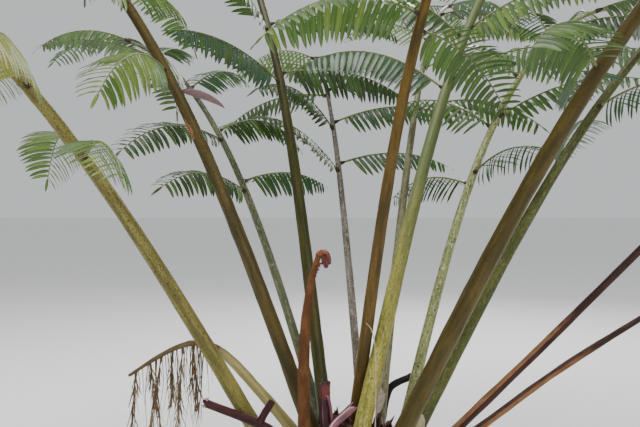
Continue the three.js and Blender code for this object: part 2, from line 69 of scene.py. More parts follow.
# Fronds: foot of the stipe, azimuth, lean from upright at the foot, further arch to the tip,
# length of the bare stipe, length of the blade beyond it, and girth above the foot
Frond = namedtuple("Frond", "foot azimuth lean arch stipe blade girth")
FRONDS = [
    Frond((-190, -80, 270), 207, 30, 86, 1300, 1900, 58),
    Frond((-66, -35, 320), 180, 20, 92, 1500, 1980, 58),
    Frond((-52, 168, 320), 146, 21, 104, 1060, 1650, 42),
    Frond((-56, 62, 360), 119, 14, 100, 1450, 1900, 54),
    Frond((82, 196, 320), 99, 24, 96, 1200, 1650, 38),
    Frond((126, 136, 350), 69, 22, 92, 1420, 1700, 42),
    Frond((12, -130, 320), 47, 21, 86, 1500, 1980, 62),
    Frond((184, 72, 300), 28, 17, 106, 1080, 1650, 46),
    Frond((168, -8, 280), 2, 27, 80, 1450, 1750, 50),
    Frond((106, -102, 300), 324, 27, 84, 1450, 1980, 66),
    Frond((26, 64, 370), 302, 12, 122, 1480, 1900, 50),
]
ARCH_POWER = 3
LINE_STEPS = 120
FOOT_SWELLING = 0.26
FOOT_SWELLING_LENGTH = 70
STIPE_END_GIRTH = 0.7
RACHIS_END_GIRTH = 0.22
STIPE_FOOT_RINGS = (0, 70, 170)
STIPE_RINGS = 4
RACHIS_RINGS = 6
CLEARANCE = 0.3

# Pinnae: the side shoots of a blade, in pairs, with one more at its end
PAIR_SPACING = 265
PAIR_OFFSET = 0.19
FIRST_PAIR = 22
PINNA_LENGTH = 740
PINNA_FULL_BLADE = 1950
END_PINNA_LENGTH = 430
END_PINNA_SINK = 12
RACHIS_SHORT_OF_TIP = 350
SKYWARD = 0.55
DROOP_POWER = 1.3
TAPER_POWER = 1.5
BARE_STALK = 0.1
RIB_STEPS = 40
LEAFLET_LENGTH = 140
LEAFLET_FORWARD = 0.24
LEAFLET_GROWTH = {"first": 0.62, "rise": 2.2}
LEAFLET_WANING = {"from": 0.55, "run": 0.45, "loss": 0.6, "power": 1.5}
END_LEAFLET = 70

# How pinnae grow: the middle value and the spread each way
GROWTH = {
    "length": (1, 0.06), "fullest_at": 0.3, "shorter_towards_tip": 0.55,
    "sweep_at_foot": 14, "sweep_at_tip": 48, "sweep_spread": 5,
    "lift": (8, 9), "droop": (0.95, 0.3), "fold": (34, 18),
}
END_GROWTH = {"droop": 0.5, "fold": (34, 12), "leaflet": 0.85}

# Room that a pinna keeps from the ground, from stems and from other fronds, and the ways
# that it is turned or shortened until it has that room
LEAF_ROOM = 62
STEM_ROOM = 30
GROUND_ROOM = 60
ROOM_STATIONS = 13
ROOM_REACHES = np.array([-1, -0.67, -0.33, 0, 0.33, 0.67, 1])
PINNA_TURNS = [
    (0, 0), (9, 0), (-9, 0), (0, 13), (18, 0), (-18, 0), (0, -13), (12, 13), (-12, 13), (28, 6),
    (-27, 6), (20, 24), (-20, 24), (38, 14),
]
PINNA_SCALES = (1, 0.88, 0.76, 0.64, 0.52)
# Of the leaflets' length on a shortened pinna, the share that stays and the share that shrinks
LEAFLET_KEEPS, LEAFLET_SHRINKS = 0.7, 0.3

# Stems that are lines of points with radii
Stem = namedtuple("Stem", "line radii")
CROZIER = Stem(
    [
        (-141, -132, 345), (-145, -134, 560), (-144, -132, 765), (-134, -130, 900), (-118, -128, 1006),
        (-105, -127, 1052), (-98, -126, 1076),
    ],
    [23, 20.5, 19, 16, 12, 10.4, 9.6],
)
COIL_CENTRE = (-75, -126, 1080)
COIL_RADII = (18, 11)
COIL_START = 150
COIL_TURN = 270
COIL_STEPS = 12
COIL_GIRTHS = (8.8, 5)
BENT_FROND = Stem(
    [
        (-118, 52, 300), (-160, 52, 395), (-235, 54, 492), (-330, 56, 600), (-400, 58, 676),
        (-462, 60, 728), (-540, 62, 754), (-612, 62, 740), (-690, 62, 700), (-790, 62, 636),
    ],
    [25, 23, 21, 19, 18, 16, 11.5, 9.5, 8, 6],
)
BEND_RING = 5
DRIED_PINNAE = 8
DRIED_LENGTHS = (216, 336)
DRIED_GROWTH = {
    "sway": 0.5, "out": 0.25, "further_out": 0.2, "facing_sway": 0.5, "facing_up": 0.4,
    "droop": 0.4, "fold": 66, "leaflet": 52, "end_leaflet": 30,
}
DEAD_STIPES = [
    Stem([(214, -40, 240), (300, -42, 372), (405, -44, 484), (720, -48, 790), (1130, -50, 1196)],
         [21, 18, 17, 15, 12]),
    Stem([(212, 46, 232), (330, 52, 334), (497, 58, 446), (800, 62, 664), (1180, 66, 900)],
         [19, 16, 15, 13, 10]),
]
BROKEN_STUBS = [
    Stem([(-118, -186, 320), (-176, -196, 430), (-262, -204, 521), (-464, -206, 604)], [19, 17, 15, 13]),
    Stem([(-64, -98, 370), (-70, -98, 480), (-74, -98, 560), (-72, -98, 642)], [19, 18, 17, 11]),
    Stem([(-62, -186, 360), (-72, -180, 452), (-44, -166, 520), (14, -152, 572)], [17, 16, 15, 14]),
    Stem([(136, 204, 322), (158, 248, 440), (188, 262, 540), (268, 264, 584)], [16, 15, 14, 13]),
]
YOUNG_BUD = Stem(
    [
        (203, -112, 285), (217, -110, 380), (235, -108, 452), (248, -106, 492), (257, -105, 520),
        (260, -105, 536),
    ],
    [13, 13, 15, 19, 15, 6],
)


# Placing, by the rule of the CAD model
def unit(vector):
    return vector / np.linalg.norm(vector, axis=-1, keepdims=True)


def square_to(vector, along):
    """The part of a direction that is square to another, as a unit vector."""
    return unit(vector - along * np.sum(vector * along, axis=-1, keepdims=True))


def mixed(low, high, share):
    return low + (high - low) * share


def sequence(seed):
    """The same numbers from 0 to 1 on every run, and in the CAD model too."""
    state = seed

    def following():
        nonlocal state
        state = (state * 1664525 + 1013904223) % 4294967296
        return state / 4294967296

    return following


Station = namedtuple("Station", "point along across over radius")


def stem_radius(frond, distance):
    half = frond.girth / 2
    further = (distance - frond.stipe) / frond.blade
    if further > 0:
        return half * (STIPE_END_GIRTH + (RACHIS_END_GIRTH - STIPE_END_GIRTH) * further)
    swelling = 1 + FOOT_SWELLING * math.exp(-distance / FOOT_SWELLING_LENGTH)
    return half * swelling * (1 - ((1 - STIPE_END_GIRTH) * distance) / frond.stipe)


def frond_line(frond):
    """The centre line of a frond in its upright plane: a station at any length along it."""
    azimuth = math.radians(frond.azimuth)
    out = np.array([math.cos(azimuth), math.sin(azimuth), 0.0])
    across = np.array([-out[1], out[0], 0.0])
    length = frond.stipe + frond.blade
    step = length / LINE_STEPS

    def heading(share):
        angle = math.radians(frond.lean + frond.arch * share**ARCH_POWER)
        return out * math.sin(angle) + UP * math.cos(angle)

    places = [np.array(frond.foot, float)]
    for i in range(LINE_STEPS):
        places.append(places[i] + heading((i + 0.5) / LINE_STEPS) * step)

    def station_at(distance):
        place = min(distance / step, LINE_STEPS - 1e-9)
        low = int(place)
        point = mixed(places[low], places[low + 1], place - low)
        along = heading(distance / length)
        return Station(point, along, across, np.cross(along, across), stem_radius(frond, distance))

    return station_at


def rachis_length(frond):
    return frond.blade - RACHIS_SHORT_OF_TIP


def rings_through(stem):
    """Rings at the points of a line, turned as little as they can be from one to the next."""
    points = [np.array(point, float) for point in stem.line]
    over = np.array([0.0, 1.0, 0.0])
    rings = []
    for i, point in enumerate(points):
        along = unit(points[min(i + 1, len(points) - 1)] - points[max(i - 1, 0)])
        over = square_to(over, along)
        rings.append(Station(point, along, np.cross(over, along), over, stem.radii[i]))
    return rings


def coiled_crozier():
    """The young frond's line: up its stem, then inwards round its coil."""
    line, radii = list(CROZIER.line), list(CROZIER.radii)
    x, y, z = COIL_CENTRE
    for i in range(COIL_STEPS + 1):
        share = i / COIL_STEPS
        turn = math.radians(COIL_START - COIL_TURN * share)
        reach = mixed(*COIL_RADII, share)
        line.append((x + math.cos(turn) * reach, y, z + math.sin(turn) * reach))
        radii.append(mixed(*COIL_GIRTHS, share))
    return Stem(line, radii)


# A pinna: its rib's root and heading, the way it faces, its droop, the fold of its leaflets,
# and the lengths of its rib, its leaflets and the leaflet at its end
Pinna = namedtuple("Pinna", "root heading facing droop fold length leaflet end_leaflet")


def rib_line(pinna):
    """A pinna's rib: it leaves along its heading and droops towards its tip."""
    def headings(shares):
        return unit(pinna.heading - UP * (pinna.droop * np.asarray(shares)[..., None] ** DROOP_POWER))

    middles = (np.arange(RIB_STEPS) + 0.5) / RIB_STEPS
    steps = np.cumsum(headings(middles), axis=0) * (pinna.length / RIB_STEPS)
    places = pinna.root + np.vstack([np.zeros(3), steps])

    def at(shares):
        place = np.minimum(np.asarray(shares) * RIB_STEPS, RIB_STEPS - 1e-9)
        low = place.astype(int)
        part = (place - low)[..., None]
        return places[low] * (1 - part) + places[low + 1] * part, headings(shares)

    return at


def rib_ways(pinna, shares):
    """Points on a rib, the way along it there, its upper side and the way to its one side."""
    points, along = rib_line(pinna)(shares)
    upper = square_to(np.broadcast_to(pinna.facing, along.shape), along)
    return points, along, upper, np.cross(along, upper)


def leaflet_lengths(pinna, shares):
    """Leaflets lengthen from the foot of a rib, keep their length and wane towards its tip."""
    growing = np.minimum(1, LEAFLET_GROWTH["first"] + LEAFLET_GROWTH["rise"] * shares)
    beyond = np.maximum(0, shares - LEAFLET_WANING["from"]) / LEAFLET_WANING["run"]
    waning = 1 - LEAFLET_WANING["loss"] * beyond ** LEAFLET_WANING["power"]
    return pinna.leaflet * growing * waning


def leaf_points(pinna):
    """Points over a pinna's leaves, to see whether it has room."""
    shares = BARE_STALK + (1 - BARE_STALK) * np.arange(ROOM_STATIONS) / (ROOM_STATIONS - 1)
    points, along, upper, side = rib_ways(pinna, shares)
    rows = []
    for reach in ROOM_REACHES:
        heading = side * (np.sign(reach) * math.cos(pinna.fold)) - upper * math.sin(pinna.fold)
        heading = unit(heading + along * LEAFLET_FORWARD)
        rows.append(points + heading * (abs(reach) * leaflet_lengths(pinna, shares))[:, None])
    return np.concatenate(rows)


StemPiece = namedtuple("StemPiece", "owner start end radius")
LeafGroup = namedtuple("LeafGroup", "owner points centre radius")
stem_pieces = []
leaf_groups = []


def keep_stem(owner, rings):
    for near, far in zip(rings, rings[1:]):
        stem_pieces.append(StemPiece(owner, near.point, far.point, max(near.radius, far.radius)))


def distance_to_piece(points, piece):
    run = piece.end - piece.start
    share = np.clip(((points - piece.start) @ run) / (run @ run), 0, 1)
    return np.linalg.norm(points - piece.start - share[..., None] * run, axis=-1)


def has_room(group, own_stem):
    """Whether leaf points keep their room from the ground, the stems and the other fronds."""
    if (group.points[:, 2] < GROUND_ROOM).any():
        return False
    for piece in stem_pieces:
        if piece.owner == own_stem:
            continue
        room = piece.radius + STEM_ROOM
        if distance_to_piece(group.centre, piece) > group.radius + room:
            continue
        if (distance_to_piece(group.points, piece) < room).any():
            return False
    for other in leaf_groups:
        if other.owner == group.owner:
            continue
        if np.linalg.norm(other.centre - group.centre) > other.radius + group.radius + LEAF_ROOM:
            continue
        gaps = np.linalg.norm(group.points[:, None] - other.points[None], axis=-1)
        if (gaps < LEAF_ROOM).any():
            return False
    return True


def settled_pinna(owner, own_stem, grow):
    """The pinna where it has room, turned or shortened as little as that takes, or none."""
    for scale in PINNA_SCALES:
        for lift, sweep in PINNA_TURNS:
            pinna = grow(scale, lift, sweep)
            points = leaf_points(pinna)
            centre = points.mean(axis=0)
            group = LeafGroup(owner, points, centre, np.linalg.norm(points - centre, axis=1).max())
            if has_room(group, own_stem):
                leaf_groups.append(group)
                return pinna
    return None


def pinna_heading(station, hand, sweep, lift):
    sweep, lift = math.radians(sweep), math.radians(lift)
    flat = station.along * math.sin(sweep) + station.across * (hand * math.cos(sweep))
    return flat * math.cos(lift) + station.over * math.sin(lift)


def frond_pinnae(index, frond, station_at, random):
    """The pinnae of one frond, from its lowest pair to the one at its end."""
    pinnae = []
    size = frond.blade / PINNA_FULL_BLADE
    leaflet = LEAFLET_LENGTH * size
    rachis = rachis_length(frond)
    pairs = math.floor(rachis / PAIR_SPACING + 0.5)
    spacing = (rachis - FIRST_PAIR) / pairs

    def around(growth):
        return growth[0] + growth[1] * (2 * random() - 1)

    def add(station, hand, length, sweep, lift, droop, fold, leaflet):
        facing = unit(mixed(station.over, UP, SKYWARD))
        pinna = settled_pinna(index, ("rachis", index), lambda scale, more_lift, more_sweep: Pinna(
            station.point, pinna_heading(station, hand, sweep + more_sweep, lift + more_lift), facing,
            droop, fold, length * scale, leaflet * (LEAFLET_KEEPS + LEAFLET_SHRINKS * scale), END_LEAFLET,
        ))
        if pinna:
            pinnae.append(pinna)

    for pair in range(pairs):
        for hand in (1, -1):
            distance = FIRST_PAIR + spacing * (pair + (PAIR_OFFSET if hand < 0 else 0))
            share = distance / rachis
            away = abs(share - GROWTH["fullest_at"]) / (1 - GROWTH["fullest_at"])
            shorter = 1 - GROWTH["shorter_towards_tip"] * away**TAPER_POWER
            length = PINNA_LENGTH * size * around(GROWTH["length"]) * shorter
            middle_sweep = mixed(GROWTH["sweep_at_foot"], GROWTH["sweep_at_tip"], share)
            sweep = around((middle_sweep, GROWTH["sweep_spread"]))
            lift = around(GROWTH["lift"])
            droop = around(GROWTH["droop"])
            fold = math.radians(around(GROWTH["fold"]))
            add(station_at(frond.stipe + distance), hand, length, sweep, lift, droop, fold, leaflet)
    fold = math.radians(around(END_GROWTH["fold"]))
    end = station_at(frond.stipe + rachis - END_PINNA_SINK)
    length, droop = END_PINNA_LENGTH * size, END_GROWTH["droop"]
    add(end, 1, length, 90, 0, droop, fold, leaflet * END_GROWTH["leaflet"])
    return pinnae


def dried_pinnae(rings, random):
    """Dry pinnae that hang in a curtain under the withered blade."""
    pinnae = []
    growth = DRIED_GROWTH
    for i in range(DRIED_PINNAE):
        place = ((i + 0.5) / DRIED_PINNAE) * (len(rings) - 1)
        low = int(place)
        root = mixed(rings[low].point, rings[low + 1].point, place - low)
        hand = 1 if i % 2 == 0 else -1
        aside = growth["sway"] * random() - growth["sway"] / 2
        out = hand * (growth["out"] + growth["further_out"] * random())
        heading = unit(np.array([aside, out, -1.0]))
        facing = unit(np.array([random() - growth["facing_sway"], hand, growth["facing_up"]]))
        length = mixed(*DRIED_LENGTHS, random())
        pinna = settled_pinna("withered", "withered", lambda scale, lift, sweep: Pinna(
            root, heading, facing, growth["droop"], math.radians(growth["fold"]),
            length * scale, growth["leaflet"], growth["end_leaflet"],
        ))
        if pinna:
            pinnae.append(pinna)
    return pinnae


def grown_plant():
    """Every frond's line and pinnae, and the withered blade's, in the order of the CAD model."""
    random = sequence(20417)
    lines = [frond_line(frond) for frond in FRONDS]
    start = STIPE_FOOT_RINGS[-1]
    for i, (frond, station_at) in enumerate(zip(FRONDS, lines)):
        further = [start + (frond.stipe - start) * k / STIPE_RINGS for k in range(1, STIPE_RINGS + 1)]
        keep_stem(("stipe", i), [station_at(d) for d in [*STIPE_FOOT_RINGS, *further]])
        near, far = frond.stipe + CLEARANCE, frond.stipe + rachis_length(frond)
        rachis = [mixed(near, far, k / RACHIS_RINGS) for k in range(RACHIS_RINGS + 1)]
        keep_stem(("rachis", i), [station_at(d) for d in rachis])
    bent = rings_through(BENT_FROND)
    others = [rings_through(stem) for stem in (coiled_crozier(), YOUNG_BUD)] + [bent[: BEND_RING + 1]]
    others += [rings_through(stem) for stem in DEAD_STIPES + BROKEN_STUBS]
    for rings in others:
        keep_stem("other", rings)
    bend = bent[BEND_RING]
    withered = [bend._replace(point=bend.point + bend.along * CLEARANCE)] + bent[BEND_RING + 1:]
    keep_stem("withered", withered)
    pinnae = [frond_pinnae(i, frond, lines[i], random) for i, frond in enumerate(FRONDS)]
    return lines, pinnae, dried_pinnae(withered, random)


lines, frond_pinna_sets, dry_pinnae = grown_plant()

# Surfaces: noise, points and faces gathered into pieces, and tubes along lines
NOISE_TABLE = 4096
NOISE_PRIMES = np.array([73856093, 19349663, 83492791])
# Furrows: how fast they turn round a stem, and how far a common stem runs from ring to ring
FURROWS_ROUND = 3
FURROW_RUN = 0.3
# How far the grain is moved from one stem to the next, in metres, so that no two look alike
GRAIN_SHIFT = 0.37


def value_noise(points, size, seed):
    """Smooth noise from 0 to 1 with lumps of about the given size."""
    table = np.random.default_rng(seed).random(NOISE_TABLE)
    place = np.asarray(points, float) / size
    cell = np.floor(place).astype(np.int64)
    part = place - cell
    ease = part * part * (3 - 2 * part)
    total = np.zeros(place.shape[:-1])
    for corner in np.ndindex(2, 2, 2):
        key = np.bitwise_xor.reduce((cell + np.array(corner)) * NOISE_PRIMES, axis=-1)
        weight = np.prod(np.where(np.array(corner) == 1, ease, 1 - ease), axis=-1)
        total += weight * table[key & (NOISE_TABLE - 1)]
    return total


def rough_noise(points, size, seed):
    """Noise of three sizes in one, each half as large and half as strong as the last."""
    strengths = [1, 1 / 2, 1 / 4]
    layers = [value_noise(points, size * s, seed + k) * s for k, s in enumerate(strengths)]
    return sum(layers) / sum(strengths)


class Sheaf:
    """Surfaces gathered into one piece: points, faces, the finish of each face and a grain."""

    def __init__(self):
        self.points, self.grains, self.faces, self.finishes = [], [], [], []
        self.count = 0

    def add_points(self, points, grain=None):
        """Adds points and gives the number of the first."""
        points = np.asarray(points, float).reshape(-1, 3)
        self.points.append(points)
        self.grains.append(points if grain is None else np.asarray(grain, float).reshape(-1, 3))
        self.count += len(points)
        return self.count - len(points)

    def add_faces(self, faces, finish, first):
        self.faces.extend((np.asarray(faces) + first).tolist())
        self.finishes.append(np.broadcast_to(finish, len(faces)))

    def add(self, points, faces, finish=0, grain=None):
        self.add_faces(faces, finish, self.add_points(points, grain))

    def add_grid(self, grid, finish=0, grain=None):
        """A tube of rings of points, with one finish or one for each of its faces."""
        rows, columns = grid.shape[:2]
        row, column = np.indices((rows - 1, columns))
        after = (column + 1) % columns
        low, high = row * columns, (row + 1) * columns
        corners = [low + column, low + after, high + after, high + column]
        if not np.isscalar(finish):
            finish = np.asarray(finish)[: rows - 1].ravel()
        self.add(grid, np.stack(corners, axis=-1).reshape(-1, 4), finish, grain)

    def add_cap(self, ring, middle, finish=0, grain=None):
        """A fan from a ring of points to one in the middle."""
        around = len(ring)
        fan = [(i, (i + 1) % around, around) for i in range(around)]
        if grain is not None:
            grain = np.vstack([grain, grain.mean(axis=0)])
        self.add(np.vstack([ring, middle]), fan, finish, grain)

    def close_end(self, grid, finish=0, grain=None, peak=(0.0, 0.0, 0.0)):
        """A cap on a tube's last ring, its middle moved out to a peak."""
        end_grain = None if grain is None else grain[-1]
        self.add_cap(grid[-1], grid[-1].mean(axis=0) + peak, finish, end_grain)


def smooth_line(stem, steps=8):
    """A stem's points and radii on a smooth curve through its line."""
    points, radii = np.array(stem.line, float), np.array(stem.radii, float)
    ends = np.vstack([2 * points[0] - points[1], points, 2 * points[-1] - points[-2]])
    share = np.arange(steps)[:, None] / steps
    curve = []
    for a, b, c, d in zip(ends, ends[1:], ends[2:], ends[3:]):
        curve.append(0.5 * (2 * b + (c - a) * share + (2 * a - 5 * b + 4 * c - d) * share**2
                            + (3 * b - a - 3 * c + d) * share**3))
    curve = np.vstack(curve + [points[-1:]])
    place = np.linspace(0, len(radii) - 1, len(curve))
    return curve, np.interp(place, np.arange(len(radii)), radii)


def ways_across(points, over):
    """Two directions across a line, turned as little as they can be from one point to the next."""
    along = unit(np.gradient(points, axis=0))
    overs = []
    for direction in along:
        over = square_to(np.asarray(over), direction)
        overs.append(over)
    return np.cross(overs, along), np.array(overs)


def turns_of(sides):
    """The angle of each point of a ring."""
    return 2 * np.pi * np.arange(sides) / sides


def tube_grid(points, radii, across, over, sides, shape=1.0):
    """Rings of points in metres round a line in millimetres, and their grain along the stem."""
    turn = turns_of(sides)
    reach = np.asarray(radii)[:, None] * np.broadcast_to(shape, (len(points), sides))
    outward = across[:, None] * np.cos(turn)[:, None] + over[:, None] * np.sin(turn)[:, None]
    grid = points[:, None] + outward * reach[..., None]
    run = np.concatenate([[0], np.cumsum(np.linalg.norm(np.diff(points, axis=0), axis=1))])
    flat = [reach * np.cos(turn), reach * np.sin(turn), np.broadcast_to(run[:, None], reach.shape)]
    return grid * MM, np.stack(flat, axis=-1) * MM


def furrows(rows, sides, depth, run, seed):
    """A stem's cross sections as shares of its radius, with grooves that wander along it."""
    turn = turns_of(sides)
    round_it = FURROWS_ROUND * np.cos(turn), FURROWS_ROUND * np.sin(turn)
    place = np.stack(np.broadcast_arrays(*round_it, (np.arange(rows) * run)[:, None]), axis=-1)
    return 1 + depth * (rough_noise(place, 1.0, seed) - 0.5)


def add_tube(sheaf, points, radii, sides, finish, depth, seed, over=(0.0, 1.0, 0.0), shape=1.0):
    """A furrowed stem along a line, closed at its foot; gives its rings of points and their grain."""
    across, overs = ways_across(points, over)
    shape = shape * furrows(len(points), sides, depth, FURROW_RUN, seed)
    grid, grain = tube_grid(points, radii, across, overs, sides, shape)
    grain[..., 0] += seed * GRAIN_SHIFT
    sheaf.add_grid(grid, finish, grain)
    foot_finish = finish if np.isscalar(finish) else finish[0, 0]
    sheaf.add_cap(grid[0][::-1], grid[0].mean(axis=0), foot_finish, grain[0][::-1])
    return grid, grain


def add_stem(sheaf, stem, steps, sides, finish, depth, seed, **looks):
    """A furrowed stem on the smooth curve through a stem's line."""
    return add_tube(sheaf, *smooth_line(stem, steps), sides, finish, depth, seed, **looks)


def add_closed_stem(sheaf, stem, steps, sides, finish, depth, seed, **looks):
    """A furrowed stem with a blunt end."""
    grid, grain = add_stem(sheaf, stem, steps, sides, finish, depth, seed, **looks)
    sheaf.close_end(grid, finish, grain)


def sided_finish(rows, sides, part, inside, outside):
    """Face finishes of a tube, another one inside a part of the turn given by its two ends."""
    share = (np.arange(sides) + 0.5) / sides
    column = np.where((share >= part[0]) & (share < part[1]), inside, outside)
    return np.broadcast_to(column, (rows, sides))


# Finishes
# How unevenly a fading skin fades, in metres along the stem
FADING_UNEVENNESS = 0.04
# A leaflet's veins: spacing, half width of the midrib where it starts and stops to fade, and depth of
# the relief in millimetres; then how pale the midrib is, how high the side veins stand beside it
# and how much light comes through the blade
VEIN_SPACING = 1.7
MIDRIB_EDGES = (0.3, 1.1)
LEAF_RELIEF = 0.4
MIDRIB_PALENESS = 0.6
VEIN_HEIGHT = 0.12
LIGHT_THROUGH = 0.25


def colour(code):
    """The linear colour of an sRGB hex code."""
    parts = [int(code[i:i + 2], 16) / 255 for i in (0, 2, 4)]
    return tuple(p / 12.92 if p <= 0.04045 else ((p + 0.055) / 1.055) ** 2.4 for p in parts) + (1.0,)


def add_node(tree, kind, sockets=None, **settings):
    """A node with its settings, and values or links for its sockets."""
    node = tree.nodes.new(kind)
    for name, value in settings.items():
        setattr(node, name, value)
    for name, value in (sockets or {}).items():
        if isinstance(value, bpy.types.NodeSocket):
            tree.links.new(value, node.inputs[name])
        else:
            node.inputs[name].default_value = value
    return node


def new_material(name):
    material = bpy.data.materials.new(name)
    material.use_nodes = True
    material.node_tree.nodes.clear()
    return material, material.node_tree


def finish_material(tree, surface):
    add_node(tree, "ShaderNodeOutputMaterial", {"Surface": surface})


# A tone laid over another in patches, streaks or flecks: how much it covers, the size of its marks
# in millimetres across and along the stem, and the noise levels where it starts and is full
Layer = namedtuple("Layer", "tone cover across along start full detail")


def layered_tone(tree, ground, layers):
    """A ground colour with layers over it, and the mask of each layer."""
    tone = colour(ground)
    masks = []
    for layer in layers:
        place = add_node(tree, "ShaderNodeAttribute", attribute_name="grain").outputs["Vector"]
        counts = (1 / (layer.across * MM), 1 / (layer.across * MM), 1 / (layer.along * MM))
        sized = add_node(tree, "ShaderNodeVectorMath", {0: place, 1: counts}, operation="MULTIPLY")
        cloud = add_node(tree, "ShaderNodeTexNoise", {
            "Vector": sized.outputs[0], "Scale": 1.0, "Detail": layer.detail,
        })
        mask = add_node(tree, "ShaderNodeMapRange", {
            "Value": cloud.outputs[0], "From Min": layer.start, "From Max": layer.full,
            "To Max": layer.cover,
        }, interpolation_type="SMOOTHSTEP").outputs[0]
        mix = add_node(tree, "ShaderNodeMix", {0: mask, 6: tone, 7: colour(layer.tone)}, data_type="RGBA")
        tone = mix.outputs[2]
        masks.append(mask)
    return tone, masks


def skin_material(name, ground, layers, depth, roughness, fuzz=0.0, fading=None):
    """A skin whose last two layers also stand in relief; depth is the relief's in millimetres.

    Fading is a tone that the skin turns to between two lengths in metres along the stem.
    """
    material, tree = new_material(name)
    tone, masks = layered_tone(tree, ground, layers)
    if fading:
        faded, near, far = fading
        place = add_node(tree, "ShaderNodeAttribute", attribute_name="grain").outputs["Vector"]
        run = add_node(tree, "ShaderNodeSeparateXYZ", {0: place}).outputs[2]
        uneven = add_node(tree, "ShaderNodeMath", {
            0: masks[0], 1: FADING_UNEVENNESS, 2: run,
        }, operation="MULTIPLY_ADD").outputs[0]
        share = add_node(tree, "ShaderNodeMapRange", {
            "Value": uneven, "From Min": near, "From Max": far,
        }).outputs[0]
        mix = add_node(tree, "ShaderNodeMix", {0: share, 6: tone, 7: colour(faded)}, data_type="RGBA")
        tone = mix.outputs[2]
    height = add_node(tree, "ShaderNodeMath", {0: masks[-1], 1: masks[-2]}, operation="ADD").outputs[0]
    normal = add_node(tree, "ShaderNodeBump", {
        "Height": height, "Distance": depth * MM, "Strength": 0.8,
    }).outputs[0]
    shader = add_node(tree, "ShaderNodeBsdfPrincipled", {
        "Base Color": tone, "Roughness": roughness, "IOR": 1.45, "Normal": normal,
        "Specular IOR Level": 0.28, "Sheen Weight": fuzz, "Sheen Roughness": 0.5, "Sheen Tint": tone,
    })
    finish_material(tree, shader.outputs[0])
    return material


def stipe_skin(name, light, deep, fleck, bloom=None, flecks=0.6, fading=None):
    """Living stipe: two tones that drift along it, fine streaks, a pale bloom and short dark flecks."""
    layers = [Layer(deep, 1.0, 22, 160, 0.36, 0.64, 3)]
    if bloom:
        layers.append(Layer(bloom, 0.7, 8, 20, 0.5, 0.66, 4))
    layers.append(Layer(deep, 0.4, 2.4, 60, 0.45, 0.75, 2))
    layers.append(Layer(fleck, flecks, 2.8, 7.5, 0.58, 0.63, 1.5))
    return skin_material(name, light, layers, depth=0.6, roughness=0.4, fading=fading)


def dry_skin(name, light, deep, fibre=1.5, patch=30, depth=1.5, roughness=0.9, fuzz=0.0, fading=None):
    """Dry or felted skin: patches of a deeper tone, with fibres of both tones along the stem."""
    layers = [
        Layer(deep, 0.8, patch, patch * 2, 0.35, 0.65, 4),
        Layer(light, 0.5, fibre * 1.4, fibre * 20, 0.5, 0.75, 3),
        Layer(deep, 0.6, fibre, fibre * 14, 0.45, 0.7, 3),
    ]
    return skin_material(name, light, layers, depth, roughness, fuzz, fading)


def leaf_blade(name, face, vein, glow, roughness=0.4, wax=0.15):
    """A leaflet of one plain tint: a paler midrib, fine side veins and light that comes through.

    The grain holds the place across the leaflet, the place along it and a number for each one.
    """
    material, tree = new_material(name)
    drifts = [Layer(glow, 0.3, 50, 1000, 0.3, 0.7, 1), Layer(face, 0.4, 4, 1000, 0.4, 0.7, 2)]
    tone, _ = layered_tone(tree, face, drifts)
    place = add_node(tree, "ShaderNodeAttribute", attribute_name="grain").outputs["Vector"]
    across, along, _ = add_node(tree, "ShaderNodeSeparateXYZ", {0: place}).outputs
    from_rib = add_node(tree, "ShaderNodeMath", {0: across}, operation="ABSOLUTE").outputs[0]
    midrib = add_node(tree, "ShaderNodeMapRange", {
        "Value": from_rib, "From Min": MIDRIB_EDGES[0] * MM, "From Max": MIDRIB_EDGES[1] * MM,
        "To Min": 1.0, "To Max": 0.0,
    }).outputs[0]
    slanted = add_node(tree, "ShaderNodeMath", {0: along, 1: from_rib}, operation="SUBTRACT").outputs[0]
    turns = add_node(tree, "ShaderNodeMath", {
        0: slanted, 1: 2 * math.pi / (VEIN_SPACING * MM),
    }, operation="MULTIPLY").outputs[0]
    ripple = add_node(tree, "ShaderNodeMath", {0: turns}, operation="SINE").outputs[0]
    pale = add_node(tree, "ShaderNodeMath", {
        0: midrib, 1: MIDRIB_PALENESS,
    }, operation="MULTIPLY").outputs[0]
    mix = add_node(tree, "ShaderNodeMix", {0: pale, 6: tone, 7: colour(vein)}, data_type="RGBA")
    height = add_node(tree, "ShaderNodeMath", {
        0: ripple, 1: VEIN_HEIGHT, 2: midrib,
    }, operation="MULTIPLY_ADD").outputs[0]
    normal = add_node(tree, "ShaderNodeBump", {
        "Height": height, "Distance": LEAF_RELIEF * MM, "Strength": 0.6,
    }).outputs[0]
    shader = add_node(tree, "ShaderNodeBsdfPrincipled", {
        "Base Color": mix.outputs[2], "Roughness": roughness, "IOR": 1.5, "Normal": normal,
        "Specular IOR Level": 0.36, "Coat Weight": wax, "Coat Roughness": 0.25,
    })
    through = add_node(tree, "ShaderNodeBsdfTranslucent", {"Color": colour(glow), "Normal": normal})
    both = add_node(tree, "ShaderNodeMixShader", {
        0: LIGHT_THROUGH, 1: shader.outputs[0], 2: through.outputs[0],
    })
    finish_material(tree, both.outputs[0])
    return material


# Living leaflets, waxy and thin enough to glow: from deep shade green to yellow-green
LEAF_TINTS = [
    leaf_blade("leaflet_deep_green", "1a2a14", "56653f", "3c5a1a", 0.36, 0.22),
    leaf_blade("leaflet_bluish_green", "243a29", "6a7f6e", "446933", 0.32, 0.3),
    leaf_blade("leaflet_green", "293e1c", "6d7e4e", "527425", 0.35, 0.22),
    leaf_blade("leaflet_fresh_green", "374f20", "83945c", "628730", 0.35, 0.22),
    leaf_blade("leaflet_yellow_green", "53682c", "a0ab70", "84a03c"),
    leaf_blade("leaflet_yellowing", "7b7d36", "a5a466", "98993f", 0.42, 0.1),
]
